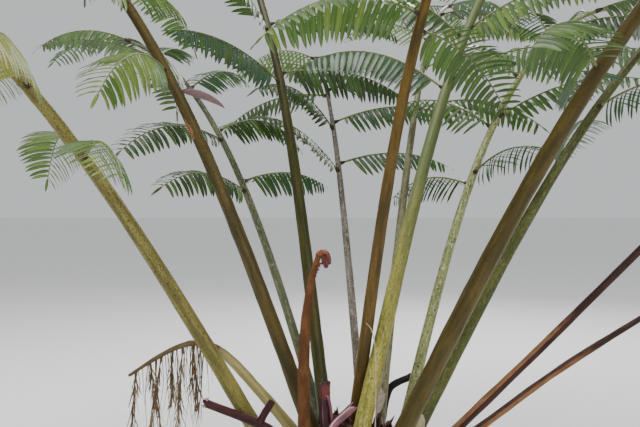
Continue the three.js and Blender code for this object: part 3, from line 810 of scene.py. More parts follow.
# Leaflets dried to grey-brown, tan and a dull pink: no wax, so little shine
DRY_TINTS = [
    leaf_blade("dried_leaflet_brown", "6b543d", "8f7558", "80664a", 0.8, 0.0),
    leaf_blade("dried_leaflet_tan", "8a7455", "a8936c", "9c8460", 0.8, 0.0),
    leaf_blade("dried_leaflet_pinkish", "82666a", "ab9193", "8c6f72", 0.7, 0.0),
]

# Stipe skins by frond, smooth and a little waxy: olive-yellow, brown-olive or pale and mottled
STIPE_SKINS = [
    stipe_skin("stipe_skin_yellow_green", "857b3f", "625c2e", "3d3119", flecks=0.9),
    stipe_skin("stipe_skin_brown_olive", "54461e", "3b3518", "231c0f", flecks=0.5),
    stipe_skin("stipe_skin_grey_green", "666a4a", "4b4f38", "323426", bloom="83836e"),
    stipe_skin("stipe_skin_olive", "433f16", "303010", "24210e", flecks=0.5),
    stipe_skin("stipe_skin_pale", "7f776c", "5e564b", "3a3129", bloom="a9a29d", flecks=1.0),
    stipe_skin("stipe_skin_tan_mottled", "797758", "5a593d", "3e3625", bloom="969176", flecks=0.8),
    stipe_skin("stipe_skin_olive_gold", "a39a45", "7a7835", "3e361c", bloom="b5b06c", flecks=0.8,
               fading=("5a643a", 0.5, 1.2)),
    stipe_skin("stipe_skin_light_green", "979b62", "7c8052", "35351f", bloom="c2c4a2", flecks=1.0),
    stipe_skin("stipe_skin_mossy", "575a2d", "424620", "292a13", bloom="696b3b", flecks=0.8),
    stipe_skin("stipe_skin_golden_brown", "55471a", "3d3413", "241d0b", flecks=0.5),
    stipe_skin("stipe_skin_orange_brown", "6b5321", "463716", "2e2011", flecks=0.45),
]
# The bent stipe, smooth and yellow, which dries to a dull grey-brown beyond its bend
BENT_SKIN = stipe_skin("bent_stipe_skin", "aca067", "8b8250", "4a4226", flecks=0.3,
                       fading=("6a583e", 0.46, 0.6))
# Ribs of the pinnae, smooth and a little lighter than the rachis
RIB_SKIN = stipe_skin("pinna_rib", "79834d", "5f693a", "434427", flecks=0.2)
# The swollen joint where a pinna leaves the rachis, dark and finely wrinkled
JOINT_SKIN = dry_skin("pinna_joint", "473a28", "2b221a", fibre=1, patch=8, depth=0.6, roughness=0.7)
# Trunk of old leaf bases and matted roots, purplish brown and fully matt
BARK = dry_skin("trunk_bark", "5d4840", "2a1e1c", fibre=2, patch=40, depth=4)
# Roots that run down the trunk's foot, with a dull brown rind
ROOT_SKIN = dry_skin("root_rind", "665243", "362a22", fibre=1.5, patch=20, depth=1.2)
# Fleshy flaps beside the foot of each stipe, dark, with a worn corky edge
FLAP_SKIN = dry_skin("stipe_flap", "47302e", "211415", fibre=1.5, patch=20, depth=2, roughness=0.7)
FLAP_EDGE = dry_skin("stipe_flap_cork_edge", "80665a", "4c3631", fibre=1.5, patch=12, depth=1)
# Papery brown scales on the crown, thin and dry
SCALE_SKIN = dry_skin("papery_scale", "7c5740", "4b3026", fibre=1, patch=12, depth=0.4)
# Inside of a snapped stem: pale fibrous pith
SNAPPED_PITH = dry_skin("snapped_pith", "9a7a68", "64483d", fibre=1.2, patch=12, depth=2)
# Rusty felt of the young coiled frond, of its coil and of its single hairs: short matt fibres
FELT = dry_skin("rusty_felt", "704a2c", "4c2f1a", fibre=0.9, patch=26, depth=1.2, fuzz=0.25)
COIL_FELT = dry_skin("rusty_coil_felt", "9c604a", "63382c", fibre=0.8, patch=8, depth=1.2, fuzz=0.3)
CURL_SKIN = dry_skin("purple_brown_curl", "7c4a4c", "4b2a2d", fibre=0.7, patch=6, depth=0.8, fuzz=0.2)
FELT_HAIR = dry_skin("rusty_hair", "96613a", "643b20", fibre=1, patch=20, depth=0.2, fuzz=0.2)
# Furled young bud, covered in pale down
BUD_SKIN = dry_skin("downy_bud", "a8a080", "827a5c", fibre=1.2, patch=12, depth=0.6, roughness=0.6)
# Dead stipes: leathery red-brown skin, a darker copy of it that is painted shade, and a light side of
# orange-brown fibre that turns dark further out
DEAD_SKIN = dry_skin("dead_stipe_leather", "573a30", "301d18", depth=1.2, roughness=0.6)
SHADED_DEAD_SKIN = dry_skin("dead_stipe_painted_shade", "44261e", "231310", depth=1.2, roughness=0.55)
LIGHT_DEAD_SKIN = dry_skin("dead_stipe_fibres", "8c6342", "67462c", depth=1, roughness=0.7,
                           fading=("35221f", 0.76, 0.9))
# Broken stubs, still moist and so a little glossy: dark red, reddish, mauve, pink where split, a dark
# purple that is painted shade, and black
STUB_DARK = dry_skin("stub_dark_red", "471c20", "200c0e", depth=1.4, roughness=0.4)
STUB_RED = dry_skin("stub_reddish", "7a423c", "472421", depth=1.2, roughness=0.6)
# Painted shade: low on the second stub, inside its torn end and down the middle of the third stub's split
STUB_PAINTED_SHADE_PURPLE = dry_skin("stub_dark_purple_painted_shade", "4b2f33", "261618", depth=1.2, roughness=0.5)
STUB_MAUVE = dry_skin("stub_mauve", "8d5d65", "573640", depth=1, roughness=0.5)
# Pale pink of split flesh and torn fibres, which along the third stub's split is also a painted highlight
STUB_PINK_SPLIT_AND_HIGHLIGHT = dry_skin("stub_pink_split_and_painted_highlight", "d6aeb2", "a97c82", depth=0.8, roughness=0.5)
# Black of the fourth stub, also painted shade inside the hollow end of the first stub's side fork
STUB_BLACK_AND_HOLLOW_SHADE = dry_skin("stub_black_and_painted_hollow_shade", "2d2425", "151112", depth=1.4, roughness=0.6)
# Rachis of the withered blade and the dry threads under it: grey-brown fibre
WITHERED_SKIN = dry_skin("withered_fibre", "78654a", "4c3d2a", depth=1.2)
# A thin pale strand that leans on a stipe, dry and matt
STRAND_SKIN = dry_skin("pale_dry_strand", "c9b7a0", "94806a", fibre=0.8, patch=10, depth=0.4)
# Flesh under torn skin, rough: orange where it is fresh, pale grey-brown where it has weathered
SCAR_SKIN = dry_skin("torn_stipe_flesh", "a2714f", "77503a", fibre=1, patch=8, depth=0.8)
OLD_SCAR_SKIN = dry_skin("weathered_stipe_flesh", "b5a596", "8a7769", fibre=1, patch=9, depth=0.8)


# Pieces
def piece(name, sheaf, finishes, nodes, slot):
    """Makes one smooth piece of a sheaf, with its finishes, in place of nodes of the CAD model."""
    mesh = bpy.data.meshes.new(name)
    mesh.from_pydata(np.concatenate(sheaf.points).tolist(), [], sheaf.faces)
    for finish in finishes:
        mesh.materials.append(finish)
    mesh.polygons.foreach_set("material_index", np.concatenate(sheaf.finishes).astype(np.int32))
    mesh.polygons.foreach_set("use_smooth", [True] * len(mesh.polygons))
    grain = mesh.attributes.new("grain", "FLOAT_VECTOR", "POINT")
    grain.data.foreach_set("vector", np.concatenate(sheaf.grains).astype(np.float32).ravel())
    mesh.validate()
    mesh.update()
    return shown(bpy.data.objects.new(name, mesh), nodes, slot)


def shown(made, nodes, slot):
    """Puts a piece in the scene in place of its nodes, rooted as the whole plant is."""
    bpy.context.scene.collection.objects.link(made)
    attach(made, "root")
    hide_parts(*nodes)
    return made


# Leaflets: distance along the rib from one to the next, their width, and the distance of dry ones
LEAFLET_SPACING = 26
LEAFLET_WIDTH = 21
DRY_SPACING = 12
# Where a leaflet's rows of points lie along it, and its width there
LEAFLET_SHARES = np.array([0, 0.07, 0.2, 0.38, 0.57, 0.74, 0.89, 1.0])
LEAFLET_WIDTHS = np.array([0.34, 0.7, 0.93, 1.0, 0.95, 0.78, 0.48, 0])
# How a leaflet bends and how deep its two halves fold up from the midrib; its wavy edge in
# millimetres, and how many radians of wave it has
CURL_POWER = 1.3
CHANNEL = 0.22
FLUTTER = 0.9
FLUTTER_WAVES = (6, 12)
# The share of a rib where its leaflets end, and how far two facing leaflets and neighbours on one
# side are out of step, as shares of their spacing
LEAFLETS_END = 0.985
STAGGER = 0.2
JITTER = 0.08
# The habit of a pinna's leaflets: how they pull under, hang and bow forward
PINNA_HABIT = {"pull": (0.4, 0.7), "hang": (0.05, 0.25), "bow": (0.05, 0.3)}
# How leaflets of a pinna differ: middle and spread in degrees for fold and twist, ranges for the rest
LEAFLET_HABIT = {
    "fold": (-13, 2.5), "forward": (0.8, 1.2), "bend": (0.88, 1.12), "length": (0.94, 1.05),
    "width": (0.9, 1.08), "twist": (16, 3),
}
# A leaflet's width is this much of the full one, and more by the second share as it is longer
WIDTH_BY_LENGTH = (0.45, 0.55)
OTHER_TINT_SHARE = 0.25
TIP_LEAFLET = {"length": 0.95, "width": 11.0, "curl": 0.2}
# Dry leaflets: how they stand out, lean along and hang down, how they curl and turn, their lengths
# beside living ones and their widths
DRY_HABIT = {
    "from": 0.04, "out": (0.1, 0.5), "along": 0.4, "down": (1.0, 2.6), "curl": 0.35, "drop": 0.3,
    "turn": 0.7, "length": (0.9, 2.3), "width": (2.2, 5.5),
}
DRY_CHANNEL = 0.7


def add_leaflets(sheaf, rng, roots, headings, planes, lengths, widths, curls, finishes, channel=CHANNEL):
    """Strap leaflets that curve as they hang: a sheet on each side of the midrib, in millimetres."""
    count = len(roots)
    middles = (LEAFLET_SHARES[1:] + LEAFLET_SHARES[:-1]) / 2

    def bent(shares):
        return unit(headings[:, None] + curls[:, None] * (shares**CURL_POWER)[None, :, None])

    strides = bent(middles) * (np.diff(LEAFLET_SHARES)[None, :, None] * lengths[:, None, None])
    centres = roots[:, None] + np.concatenate([np.zeros((count, 1, 3)), np.cumsum(strides, axis=1)], axis=1)
    along = bent(LEAFLET_SHARES)
    width_way = square_to(np.broadcast_to(planes[:, None], along.shape), along)
    face = np.cross(along, width_way)
    half = (widths / 2)[:, None] * LEAFLET_WIDTHS[None]
    waves = LEAFLET_SHARES[None] * rng.uniform(*FLUTTER_WAVES, (count, 1)) + rng.uniform(0, 6, (count, 1))
    flutter = FLUTTER * np.sin(waves) * np.sign(half)
    left = centres + width_way * half[..., None] + face * (half * channel + flutter)[..., None]
    right = centres - width_way * half[..., None] + face * (half * channel - flutter)[..., None]
    run = LEAFLET_SHARES[None] * lengths[:, None]
    own_number = np.broadcast_to(rng.uniform(0, 1000, (count, 1)), run.shape)
    grains = [np.stack([offset * half, run, own_number], axis=-1) for offset in (1, 0, -1)]
    one_leaflet = 3 * len(LEAFLET_SHARES) - 2

    def one_tip(edges_and_middle):
        """The points of all rows, but of the last row only its middle, in metres."""
        points = np.stack(edges_and_middle, axis=2).reshape(count, -1, 3)
        points[:, one_leaflet - 1] = points[:, one_leaflet]
        return points[:, :one_leaflet].reshape(-1, 3) * MM

    quads = [(a, a + 1, a + 4, a + 3) for k in range(0, one_leaflet - 4, 3) for a in (k, k + 1)]
    tips = [(a, a + 1, one_leaflet - 1) for a in (one_leaflet - 4, one_leaflet - 3)]
    first = sheaf.add_points(one_tip([left, centres, right]), one_tip(grains))
    starts = (np.arange(count) * one_leaflet)[:, None, None]
    for corners, faces in ((4, quads), (3, tips)):
        own = np.repeat(finishes, len(faces))
        sheaf.add_faces((np.array(faces) + starts).reshape(-1, corners), own, first)


def add_pinna_leaflets(sheaf, rng, pinna, main_tint, other_tint):
    """Two rows of leaflets along a rib and one at its tip."""
    leafy = LEAFLETS_END - BARE_STALK
    count = max(3, int(leafy * pinna.length / LEAFLET_SPACING))
    pull, hang, bow = (rng.uniform(*PINNA_HABIT[name]) for name in ("pull", "hang", "bow"))
    for hand in (1, -1):
        shares = BARE_STALK + leafy * (np.arange(count) + 0.5 + STAGGER * hand) / count
        shares = np.minimum(shares + rng.uniform(-JITTER, JITTER, count) * leafy / count, 1)
        points, along, upper, side = rib_ways(pinna, shares)
        fold = pinna.fold + np.radians(rng.normal(*LEAFLET_HABIT["fold"], count))
        forward = LEAFLET_FORWARD * rng.uniform(*LEAFLET_HABIT["forward"], count)[:, None]
        headings = side * hand * np.cos(fold)[:, None] - upper * np.sin(fold)[:, None] + along * forward
        bend = rng.uniform(*LEAFLET_HABIT["bend"], (count, 1))
        curls = along * bow * bend - upper * pull * bend - UP * hang
        lengths = leaflet_lengths(pinna, shares) * rng.uniform(*LEAFLET_HABIT["length"], count)
        widths = LEAFLET_WIDTH * (WIDTH_BY_LENGTH[0] + WIDTH_BY_LENGTH[1] * lengths / LEAFLET_LENGTH)
        widths = widths * rng.uniform(*LEAFLET_HABIT["width"], count)
        twist = np.radians(rng.normal(*LEAFLET_HABIT["twist"], count))[:, None] * hand
        planes = (along * np.cos(twist) + upper * np.sin(twist)) * hand
        finishes = np.where(rng.random(count) < OTHER_TINT_SHARE, other_tint, main_tint)
        add_leaflets(sheaf, rng, points, unit(headings), planes, lengths, widths, curls, finishes)
    points, along, upper, side = rib_ways(pinna, np.array([LEAFLETS_END]))
    length, width = np.array([pinna.end_leaflet * TIP_LEAFLET["length"]]), np.array([TIP_LEAFLET["width"]])
    curl = -upper * TIP_LEAFLET["curl"]
    add_leaflets(sheaf, rng, points, along, side, length, width, curl, np.array([main_tint]))


def add_dry_leaflets(sheaf, rng, pinna):
    """Dry leaflets that have curled and hang close to their rib."""
    count = int(pinna.length / DRY_SPACING)
    for hand in (1, -1):
        shares = np.sort(rng.uniform(DRY_HABIT["from"], 1, count))
        points, along, _, side = rib_ways(pinna, shares)
        out = side * hand * rng.uniform(*DRY_HABIT["out"], (count, 1))
        down = UP * rng.uniform(*DRY_HABIT["down"], (count, 1))
        headings = unit(out + along * DRY_HABIT["along"] - down)
        curls = rng.normal(0, DRY_HABIT["curl"], (count, 3)) - UP * DRY_HABIT["drop"]
        planes = unit(along + rng.normal(0, DRY_HABIT["turn"], (count, 3)))
        lengths = leaflet_lengths(pinna, shares) * rng.uniform(*DRY_HABIT["length"], count)
        finishes = rng.integers(0, 2, count)
        widths = rng.uniform(*DRY_HABIT["width"], count)
        add_leaflets(sheaf, rng, points, headings, planes, lengths, widths, curls, finishes, DRY_CHANNEL)


# A pinna's rib, and the swollen joint at its root: radii in millimetres
RIB = {"rings": 15, "crowded": 1.2, "sides": 6, "radius": 4.9, "taper": 0.72}
JOINT = {
    "rings": 6, "length": 34, "sides": 8, "radius": 5.1, "swelling": 5.2, "from": 0.35, "run": 0.72,
    "power": 0.8,
}


def add_rib(sheaf, pinna, girth, finish, joint_finish):
    """A tapering rib with the swollen joint at its root."""
    shares = np.linspace(0, 1, RIB["rings"]) ** RIB["crowded"]
    reach = np.linspace(0, 1, JOINT["rings"])
    swollen = np.sin(np.pi * np.minimum(1, JOINT["from"] + JOINT["run"] * reach)) ** JOINT["power"]
    for at, radii, sides, look in (
        (shares, girth * (1 - RIB["taper"] * shares) * RIB["radius"], RIB["sides"], finish),
        (reach * JOINT["length"] / pinna.length, girth * (JOINT["radius"] + JOINT["swelling"] * swollen),
         JOINT["sides"], joint_finish),
    ):
        points, _, upper, side = rib_ways(pinna, at)
        grid, grain = tube_grid(points, radii, side, upper, sides)
        sheaf.add_grid(grid, look, grain + pinna.root * MM)


# The tint next to each tint, for single leaflets, and the share of each tint in a frond's pinnae:
# deep, bluish, green, fresh, yellow-green and yellowing. The shares are painted light and shade: fronds in
# the light get more fresh and yellow-green leaflets, fronds in shade more deep and bluish ones
NEXT_TINT = (2, 2, 3, 4, 3, 4)
DEEP_SHADE = (0.35, 0.3, 0.25, 0.1, 0, 0)
LIGHT_SHADE = (0.3, 0.3, 0.3, 0.1, 0, 0)
FROND_TINTS_BY_PAINTED_LIGHT = [
    (0.1, 0.12, 0.23, 0.3, 0.2, 0.05),
    (0.15, 0.2, 0.25, 0.25, 0.15, 0),
    LIGHT_SHADE,
    (0.2, 0.3, 0.3, 0.15, 0.05, 0),
    DEEP_SHADE,
    DEEP_SHADE,
    (0.2, 0.25, 0.25, 0.2, 0.1, 0),
    LIGHT_SHADE,
    DEEP_SHADE,
    (0.3, 0.25, 0.25, 0.15, 0.05, 0),
    (0.15, 0.2, 0.3, 0.25, 0.1, 0),
]
# Meshes of a frond's stem: distance from ring to ring, sides and depth of the furrows
StemMesh = namedtuple("StemMesh", "step sides depth")
RACHIS_MESH = StemMesh(30, 12, 0.16)
STIPE_MESH = StemMesh(22, 20, 0.14)
TORN_STIPE_MESH = StemMesh(7, 48, 0.14)
FROND_FURROW_RUN = 60
# Torn patches of skin, by frond: distance along the stipe, part of a turn, half their extents and
# the flesh that shows; and how ragged their edge is
Scar = namedtuple("Scar", "distance turn long wide flesh")
STIPE_SCARS = {1: Scar(1296, 0.86, 38, 0.1, SCAR_SKIN), 5: Scar(162, 0.25, 46, 0.12, OLD_SCAR_SKIN)}
SCAR_RAGGEDNESS = 0.35
# A dry leaflet that hangs at the right of a stipe: its frond, distance along it, and its own facts
HANGING_LEAF = {
    "frond": 1, "distance": 1436, "above": 0.8, "way": (0.95, -0.1, -0.18), "plane": (0.1, 0.5, -0.85),
    "length": 172.0, "width": 30.0, "curl": (0.0, 0.0, -0.5), "tint": DRY_TINTS[2],
}


def torn_finish(scar, distances, sides):
    """Face finishes of a stipe: the second one inside a ragged patch."""
    share = (np.arange(sides) + 0.5) / sides
    far_along, far_round = distances[:, None] - scar.distance, share[None] - scar.turn
    away = (far_along / scar.long) ** 2 + (far_round / scar.wide) ** 2
    ragged = np.random.default_rng(770).uniform(-SCAR_RAGGEDNESS, SCAR_RAGGEDNESS, away.shape)
    return (away + ragged < 1).astype(int)


def add_frond_stem(sheaf, station_at, near, far, mesh, seed, scar=None):
    """A stretch of a frond's stem, a little furrowed."""
    distances = np.linspace(near, far, max(4, int((far - near) / mesh.step)))
    stations = [station_at(distance) for distance in distances]
    points, _, across, over, radii = (np.array(values) for values in zip(*stations))
    shape = furrows(len(distances), mesh.sides, mesh.depth, mesh.step / FROND_FURROW_RUN, seed)
    grid, grain = tube_grid(points, radii, across, over, mesh.sides, shape)
    grain[..., 2] += near * MM
    grain[..., 0] += seed * GRAIN_SHIFT
    sheaf.add_grid(grid, torn_finish(scar, distances, mesh.sides) if scar else 0, grain)
    return grid, grain


def add_hanging_leaf(sheaf, rng, station_at):
    """One dry leaflet that hangs from a stipe."""
    leaf = HANGING_LEAF
    station = station_at(leaf["distance"])
    root = station.point + station.over * station.radius * leaf["above"]
    way, plane = unit(np.array([leaf["way"]])), np.array([leaf["plane"]])
    length, width, curl = (np.array([leaf[name]]) for name in ("length", "width", "curl"))
    finish = np.array([len(LEAF_TINTS)])
    add_leaflets(sheaf, rng, root[None], way, plane, length, width, curl, finish, DRY_CHANNEL)


def add_frond(index):
    """A frond: its leaflets, its rachis with the ribs of the pinnae, and its stipe."""
    frond, station_at, pinnae = FRONDS[index], lines[index], frond_pinna_sets[index]
    number, node, seed = index + 1, f"frond_{index + 1}", 40 + index
    rng = np.random.default_rng(500 + index)
    blade = Sheaf()
    for pinna in pinnae:
        # Painted light and shade: the frond's share of tints is lighter where it stands in the light
        tint = rng.choice(len(LEAF_TINTS), p=FROND_TINTS_BY_PAINTED_LIGHT[index])
        add_pinna_leaflets(blade, rng, pinna, tint, NEXT_TINT[tint])
    if index == HANGING_LEAF["frond"]:
        add_hanging_leaf(blade, rng, station_at)
    piece(f"leaflets_{number}", blade, LEAF_TINTS + [HANGING_LEAF["tint"]], [node], "frond_leaf")
    ribs = Sheaf()
    end = frond.stipe + rachis_length(frond)
    grid, grain = add_frond_stem(ribs, station_at, frond.stipe, end, RACHIS_MESH, seed)
    ribs.close_end(grid, 0, grain)
    for pinna in pinnae:
        add_rib(ribs, pinna, 1.0, 1, 2)
    piece(f"rachis_{number}", ribs, [STIPE_SKINS[index], RIB_SKIN, JOINT_SKIN], [node], "green_stipe")
    stipe = Sheaf()
    scar = STIPE_SCARS.get(index)
    add_frond_stem(stipe, station_at, 0, frond.stipe, TORN_STIPE_MESH if scar else STIPE_MESH, seed, scar)
    flesh = scar.flesh if scar else SCAR_SKIN
    piece(f"stipe_surface_{number}", stipe, [STIPE_SKINS[index], flesh], [f"stipe_{number}"], "green_stipe")


for i in range(len(FRONDS)):
    add_frond(i)

# A torn end: how unevenly its splinters stand out, how far in the wood lies from them and how far it
# sinks, as shares; and how deep the wood's rim and middle lie below the end, in millimetres
SNAP = {"uneven": 1.6, "inner": 0.72, "sunk": 0.35, "rim": 0.5, "rim_depth": 6, "middle_depth": 9}
SPLINTER_FLARE = (-0.15, 0.12)


def add_snapped_end(sheaf, grid, grain, rng, skin, inside, longest=22, flare=SPLINTER_FLARE, pale=0.0):
    """A torn end: uneven splinters of skin, some of them pale, and wood sunk a little between them."""
    ring, flow = grid[-1], grain[-1]
    along = unit(grid[-1].mean(axis=0) - grid[-2].mean(axis=0))
    middle = ring.mean(axis=0)
    reach = rng.uniform(0.1, 1, len(ring)) ** SNAP["uneven"] * longest * MM
    torn = ring + along * reach[:, None] + (ring - middle) * rng.uniform(*flare, (len(ring), 1))
    inner = middle + (torn - middle) * SNAP["inner"] - along * (reach * SNAP["sunk"])[:, None]
    bottom = middle + (ring - middle) * SNAP["rim"] - along * SNAP["rim_depth"] * MM
    tones = np.where(rng.random((1, len(ring))) < pale, inside, skin)
    sheaf.add_grid(np.stack([ring, torn]), tones, np.stack([flow, flow + [0, 0, longest * MM]]))
    sheaf.add_grid(np.stack([torn, inner, bottom]), inside)
    sheaf.add_cap(bottom, middle - along * SNAP["middle_depth"] * MM, inside)


# Dead stipes: their skin, and the part of a turn where they are light orange-brown
DeadLook = namedtuple("DeadLook", "skin light_side")
# The first dead stipe wears the darker skin: painted shade
DEAD_LOOKS = [DeadLook(SHADED_DEAD_SKIN, (0.48, 0.68)), DeadLook(DEAD_SKIN, (0.68, 1.0))]
DEAD_SIDES = 16


def add_dead_stipe(index):
    """A dead stipe, deeply furrowed and snapped at its tip."""
    look = DEAD_LOOKS[index]
    sheaf = Sheaf()
    points, radii = smooth_line(DEAD_STIPES[index], 14)
    shape = furrows(len(points), DEAD_SIDES, 0.34, FURROW_RUN, 70 + index)
    grid, grain = tube_grid(points, radii, *ways_across(points, (0.0, 1.0, 0.0)), DEAD_SIDES, shape)
    sheaf.add_grid(grid, sided_finish(len(points), DEAD_SIDES, look.light_side, 1, 0), grain)
    add_snapped_end(sheaf, grid, grain, np.random.default_rng(700 + index), 0, 2, 34)
    finishes = [look.skin, LIGHT_DEAD_SKIN, SNAPPED_PITH]
    piece(f"dead_stipe_surface_{index + 1}", sheaf, finishes, [f"dead_stipe_{index + 1}"], "dead_stipe")


for i in range(len(DEAD_STIPES)):
    add_dead_stipe(i)

# Finishes of a broken stub, by their place in its list: skin, split, painted shade inside a hollow
# end and painted shade
STUB_SKIN, STUB_SPLIT_AND_HIGHLIGHT, STUB_SHADED_HOLLOW, STUB_SHADE = range(4)
# Broken stubs: their skin and the finish of the split, the part of a turn that is split and on the third
# stub a painted highlight, the part that is purple painted shade and the height below which it is so all
# round; radii, the longest splinter, how the splinters flare, the share of them that is pale, and the
# finish inside the end
StubLook = namedtuple("StubLook", "skin split opened purple purple_below radii longest flare pale end")
NOWHERE = (0, 0)
STUB_LOOKS = [
    StubLook(STUB_DARK, STUB_PINK_SPLIT_AND_HIGHLIGHT, NOWHERE, NOWHERE, 0,
             (19, 17, 15, 13), 16, (0, 0.6), 0.25, STUB_SPLIT_AND_HIGHLIGHT),
    # Second stub: dark purple painted shade all round below 588 mm and inside its torn end
    StubLook(STUB_RED, STUB_MAUVE, (0.64, 0.7), NOWHERE, 588,
             (19, 19, 19, 18), 9, (-0.1, 0.25), 0.15, STUB_SHADE),
    # Third stub: its pale pink band is a split with a painted highlight, with painted shade down its middle
    StubLook(STUB_MAUVE, STUB_PINK_SPLIT_AND_HIGHLIGHT, (0.46, 0.72), (0.56, 0.6), 0,
             (17, 16, 15, 14), 26, SPLINTER_FLARE, 0.3, STUB_SPLIT_AND_HIGHLIGHT),
    StubLook(STUB_BLACK_AND_HOLLOW_SHADE, SNAPPED_PITH, NOWHERE, NOWHERE, 0,
             (16, 15, 14, 13), 14, SPLINTER_FLARE, 0.2, STUB_SPLIT_AND_HIGHLIGHT),
]
STUB_SIDES = 20
# The split starts past this ring and narrows the stub to this share
SPLIT_FROM_RING = 8
SPLIT_NARROWING = 0.8
SIDE_FORK = Stem([(-296, -205, 530), (-276, -210, 566), (-250, -214, 610)], [13, 12.5, 12])
SPLINTER = Stem([(-46, -112, 440), (-49, -116, 534), (-62, -120, 600), (-72, -122, 606)], [6, 5.5, 4.5, 2])


def add_side_fork(sheaf, rng):
    """The short fork of the first stub, snapped off too."""
    grid, grain = add_stem(sheaf, SIDE_FORK, 5, 12, STUB_SKIN, 0.25, 91)
    # The inside of the fork's hollow end is black, painted shade
    add_snapped_end(sheaf, grid, grain, rng, STUB_SKIN, STUB_SHADED_HOLLOW, 8)


def add_splinter(sheaf, _):
    """A long splinter that stands off the second stub."""
    grid, _ = add_stem(sheaf, SPLINTER, 6, 8, STUB_SPLIT_AND_HIGHLIGHT, 0.4, 92)
    sheaf.close_end(grid, STUB_SPLIT_AND_HIGHLIGHT)


STUB_EXTRAS = {0: add_side_fork, 1: add_splinter}


def add_broken_stub(index):
    """A broken stub: its skin, its split, its torn end and what stands off it."""
    look = STUB_LOOKS[index]
    rng = np.random.default_rng(720 + index)
    sheaf = Sheaf()
    points, radii = smooth_line(Stem(BROKEN_STUBS[index].line, look.radii), 10)
    rows = len(points)
    faces = sided_finish(rows, STUB_SIDES, look.opened, STUB_SPLIT_AND_HIGHLIGHT, STUB_SKIN)
    # Painted shade: faces below a height and in a part of the turn take the dark purple finish
    faces = np.where((points[:, 2] < look.purple_below)[:, None] & (faces == STUB_SKIN), STUB_SHADE, faces)
    faces = np.where(sided_finish(rows, STUB_SIDES, look.purple, True, False), STUB_SHADE, faces)
    split = (faces == STUB_SPLIT_AND_HIGHLIGHT) & (np.arange(rows)[:, None] > SPLIT_FROM_RING)
    shape = furrows(rows, STUB_SIDES, 0.3, FURROW_RUN, 80 + index) * np.where(split, SPLIT_NARROWING, 1)
    grid, grain = tube_grid(points, radii, *ways_across(points, (0.0, 1.0, 0.0)), STUB_SIDES, shape)
    sheaf.add_grid(grid, faces, grain)
    add_snapped_end(sheaf, grid, grain, rng, STUB_SKIN, look.end, look.longest, look.flare, look.pale)
    if index in STUB_EXTRAS:
        STUB_EXTRAS[index](sheaf, rng)
    finishes = [look.skin, look.split, STUB_BLACK_AND_HOLLOW_SHADE, STUB_PAINTED_SHADE_PURPLE]
    piece(f"stub_surface_{index + 1}", sheaf, finishes, [f"broken_stub_{index + 1}"], "dead_stipe")


for i in range(len(BROKEN_STUBS)):
    add_broken_stub(i)

# Dry threads that hang from the withered blade: their lengths, how far they drift, how far their
# roots lie from the rachis, and their points and radii
DRY_THREADS = {
    "count": 48, "lengths": (100, 330), "drift": 26, "off": 4, "shares": (0.0, 0.45, 1.0),
    "radii": [1.6, 1.1, 0.6],
}
BENT_STEPS = 12
WITHERED_TIP = (-0.006, 0, -0.004)


def add_dry_thread(sheaf, rng, points):
    """A thread that hangs from a point of the withered blade's rachis."""
    off = DRY_THREADS["off"]
    root = points[rng.integers(4, len(points) - 2)] + rng.uniform(-off, off, 3)
    length = rng.uniform(*DRY_THREADS["lengths"])
    drifts = rng.uniform(-DRY_THREADS["drift"], DRY_THREADS["drift"], (3, 2))
    places = zip(drifts, DRY_THREADS["shares"])
    line = [root - UP * (length * share) + [*(drift * share), 0] for drift, share in places]
    add_stem(sheaf, Stem(line, DRY_THREADS["radii"]), 5, 4, 0, 0, 62, over=(1.0, 0.0, 0.0))


def add_bent_frond():
    """The bent stipe, living up to its bend, and the withered blade that hangs over from it."""
    points, radii = smooth_line(BENT_FROND, BENT_STEPS)
    bend = BEND_RING * BENT_STEPS
    stipe = Sheaf()
    add_tube(stipe, points[: bend + 1], radii[: bend + 1], 16, 0, 0.16, 60)
    piece("bent_stipe_surface", stipe, [BENT_SKIN], ["bent_stipe"], "green_stipe")
    rng = np.random.default_rng(740)
    rachis = Sheaf()
    grid, _ = add_tube(rachis, points[bend:], radii[bend:], 12, 0, 0.34, 61)
    rachis.close_end(grid, 0, peak=WITHERED_TIP)
    for pinna in dry_pinnae:
        add_rib(rachis, pinna, 0.5, 0, 0)
    for _ in range(DRY_THREADS["count"]):
        add_dry_thread(rachis, rng, points[bend:])
    piece("withered_rachis_surface", rachis, [WITHERED_SKIN], ["withered_frond"], "withered")
    leaflets = Sheaf()
    for pinna in dry_pinnae:
        add_dry_leaflets(leaflets, rng, pinna)
    piece("withered_leaflets", leaflets, DRY_TINTS, ["withered_frond"], "withered")


add_bent_frond()

# Young bud: its sides, how high its scales' seams stand, how many seams go round it in pi and how far
# they wind from ring to ring, and its tip in metres
BUD = {
    "sides": 24, "height": 0.1, "level": 0.06, "seams": 1.5, "winding": 0.09, "tip": (0.001, 0, 0.004),
}


def add_bud():
    """Young bud: pale scales furled round each other on a short stem."""
    sheaf = Sheaf()
    points, radii = smooth_line(YOUNG_BUD, 8)
    winding = np.arange(len(points))[:, None] * BUD["winding"]
    seams = np.abs(np.sin(BUD["seams"] * turns_of(BUD["sides"])[None] + winding))
    shape = 1 + BUD["height"] * seams - BUD["level"]
    grid, _ = add_tube(sheaf, points, radii, BUD["sides"], 0, 0.08, 65, shape=shape)
    sheaf.close_end(grid, 0, peak=BUD["tip"])
    piece("young_bud_surface", sheaf, [BUD_SKIN], ["young_bud"], "bud")


add_bud()

# Crozier: the coil winds further in than the CAD model's, and each turn lies against the next
CROZIER_COIL = {"reach": 21, "turns": 1.6, "steps": 40, "shrink": 3.17, "girth": 0.52}
CROZIER_SIDES = 18
CROZIER_STEPS = 6
# Furled pinnae in pairs along the coil: size on a coil of the given girth
NUB = {"length": 15, "sizes": (0.7, 1.1), "on_girth": 13, "from_step": 3, "radii": (0.36, 0.34, 0.3, 0.12)}
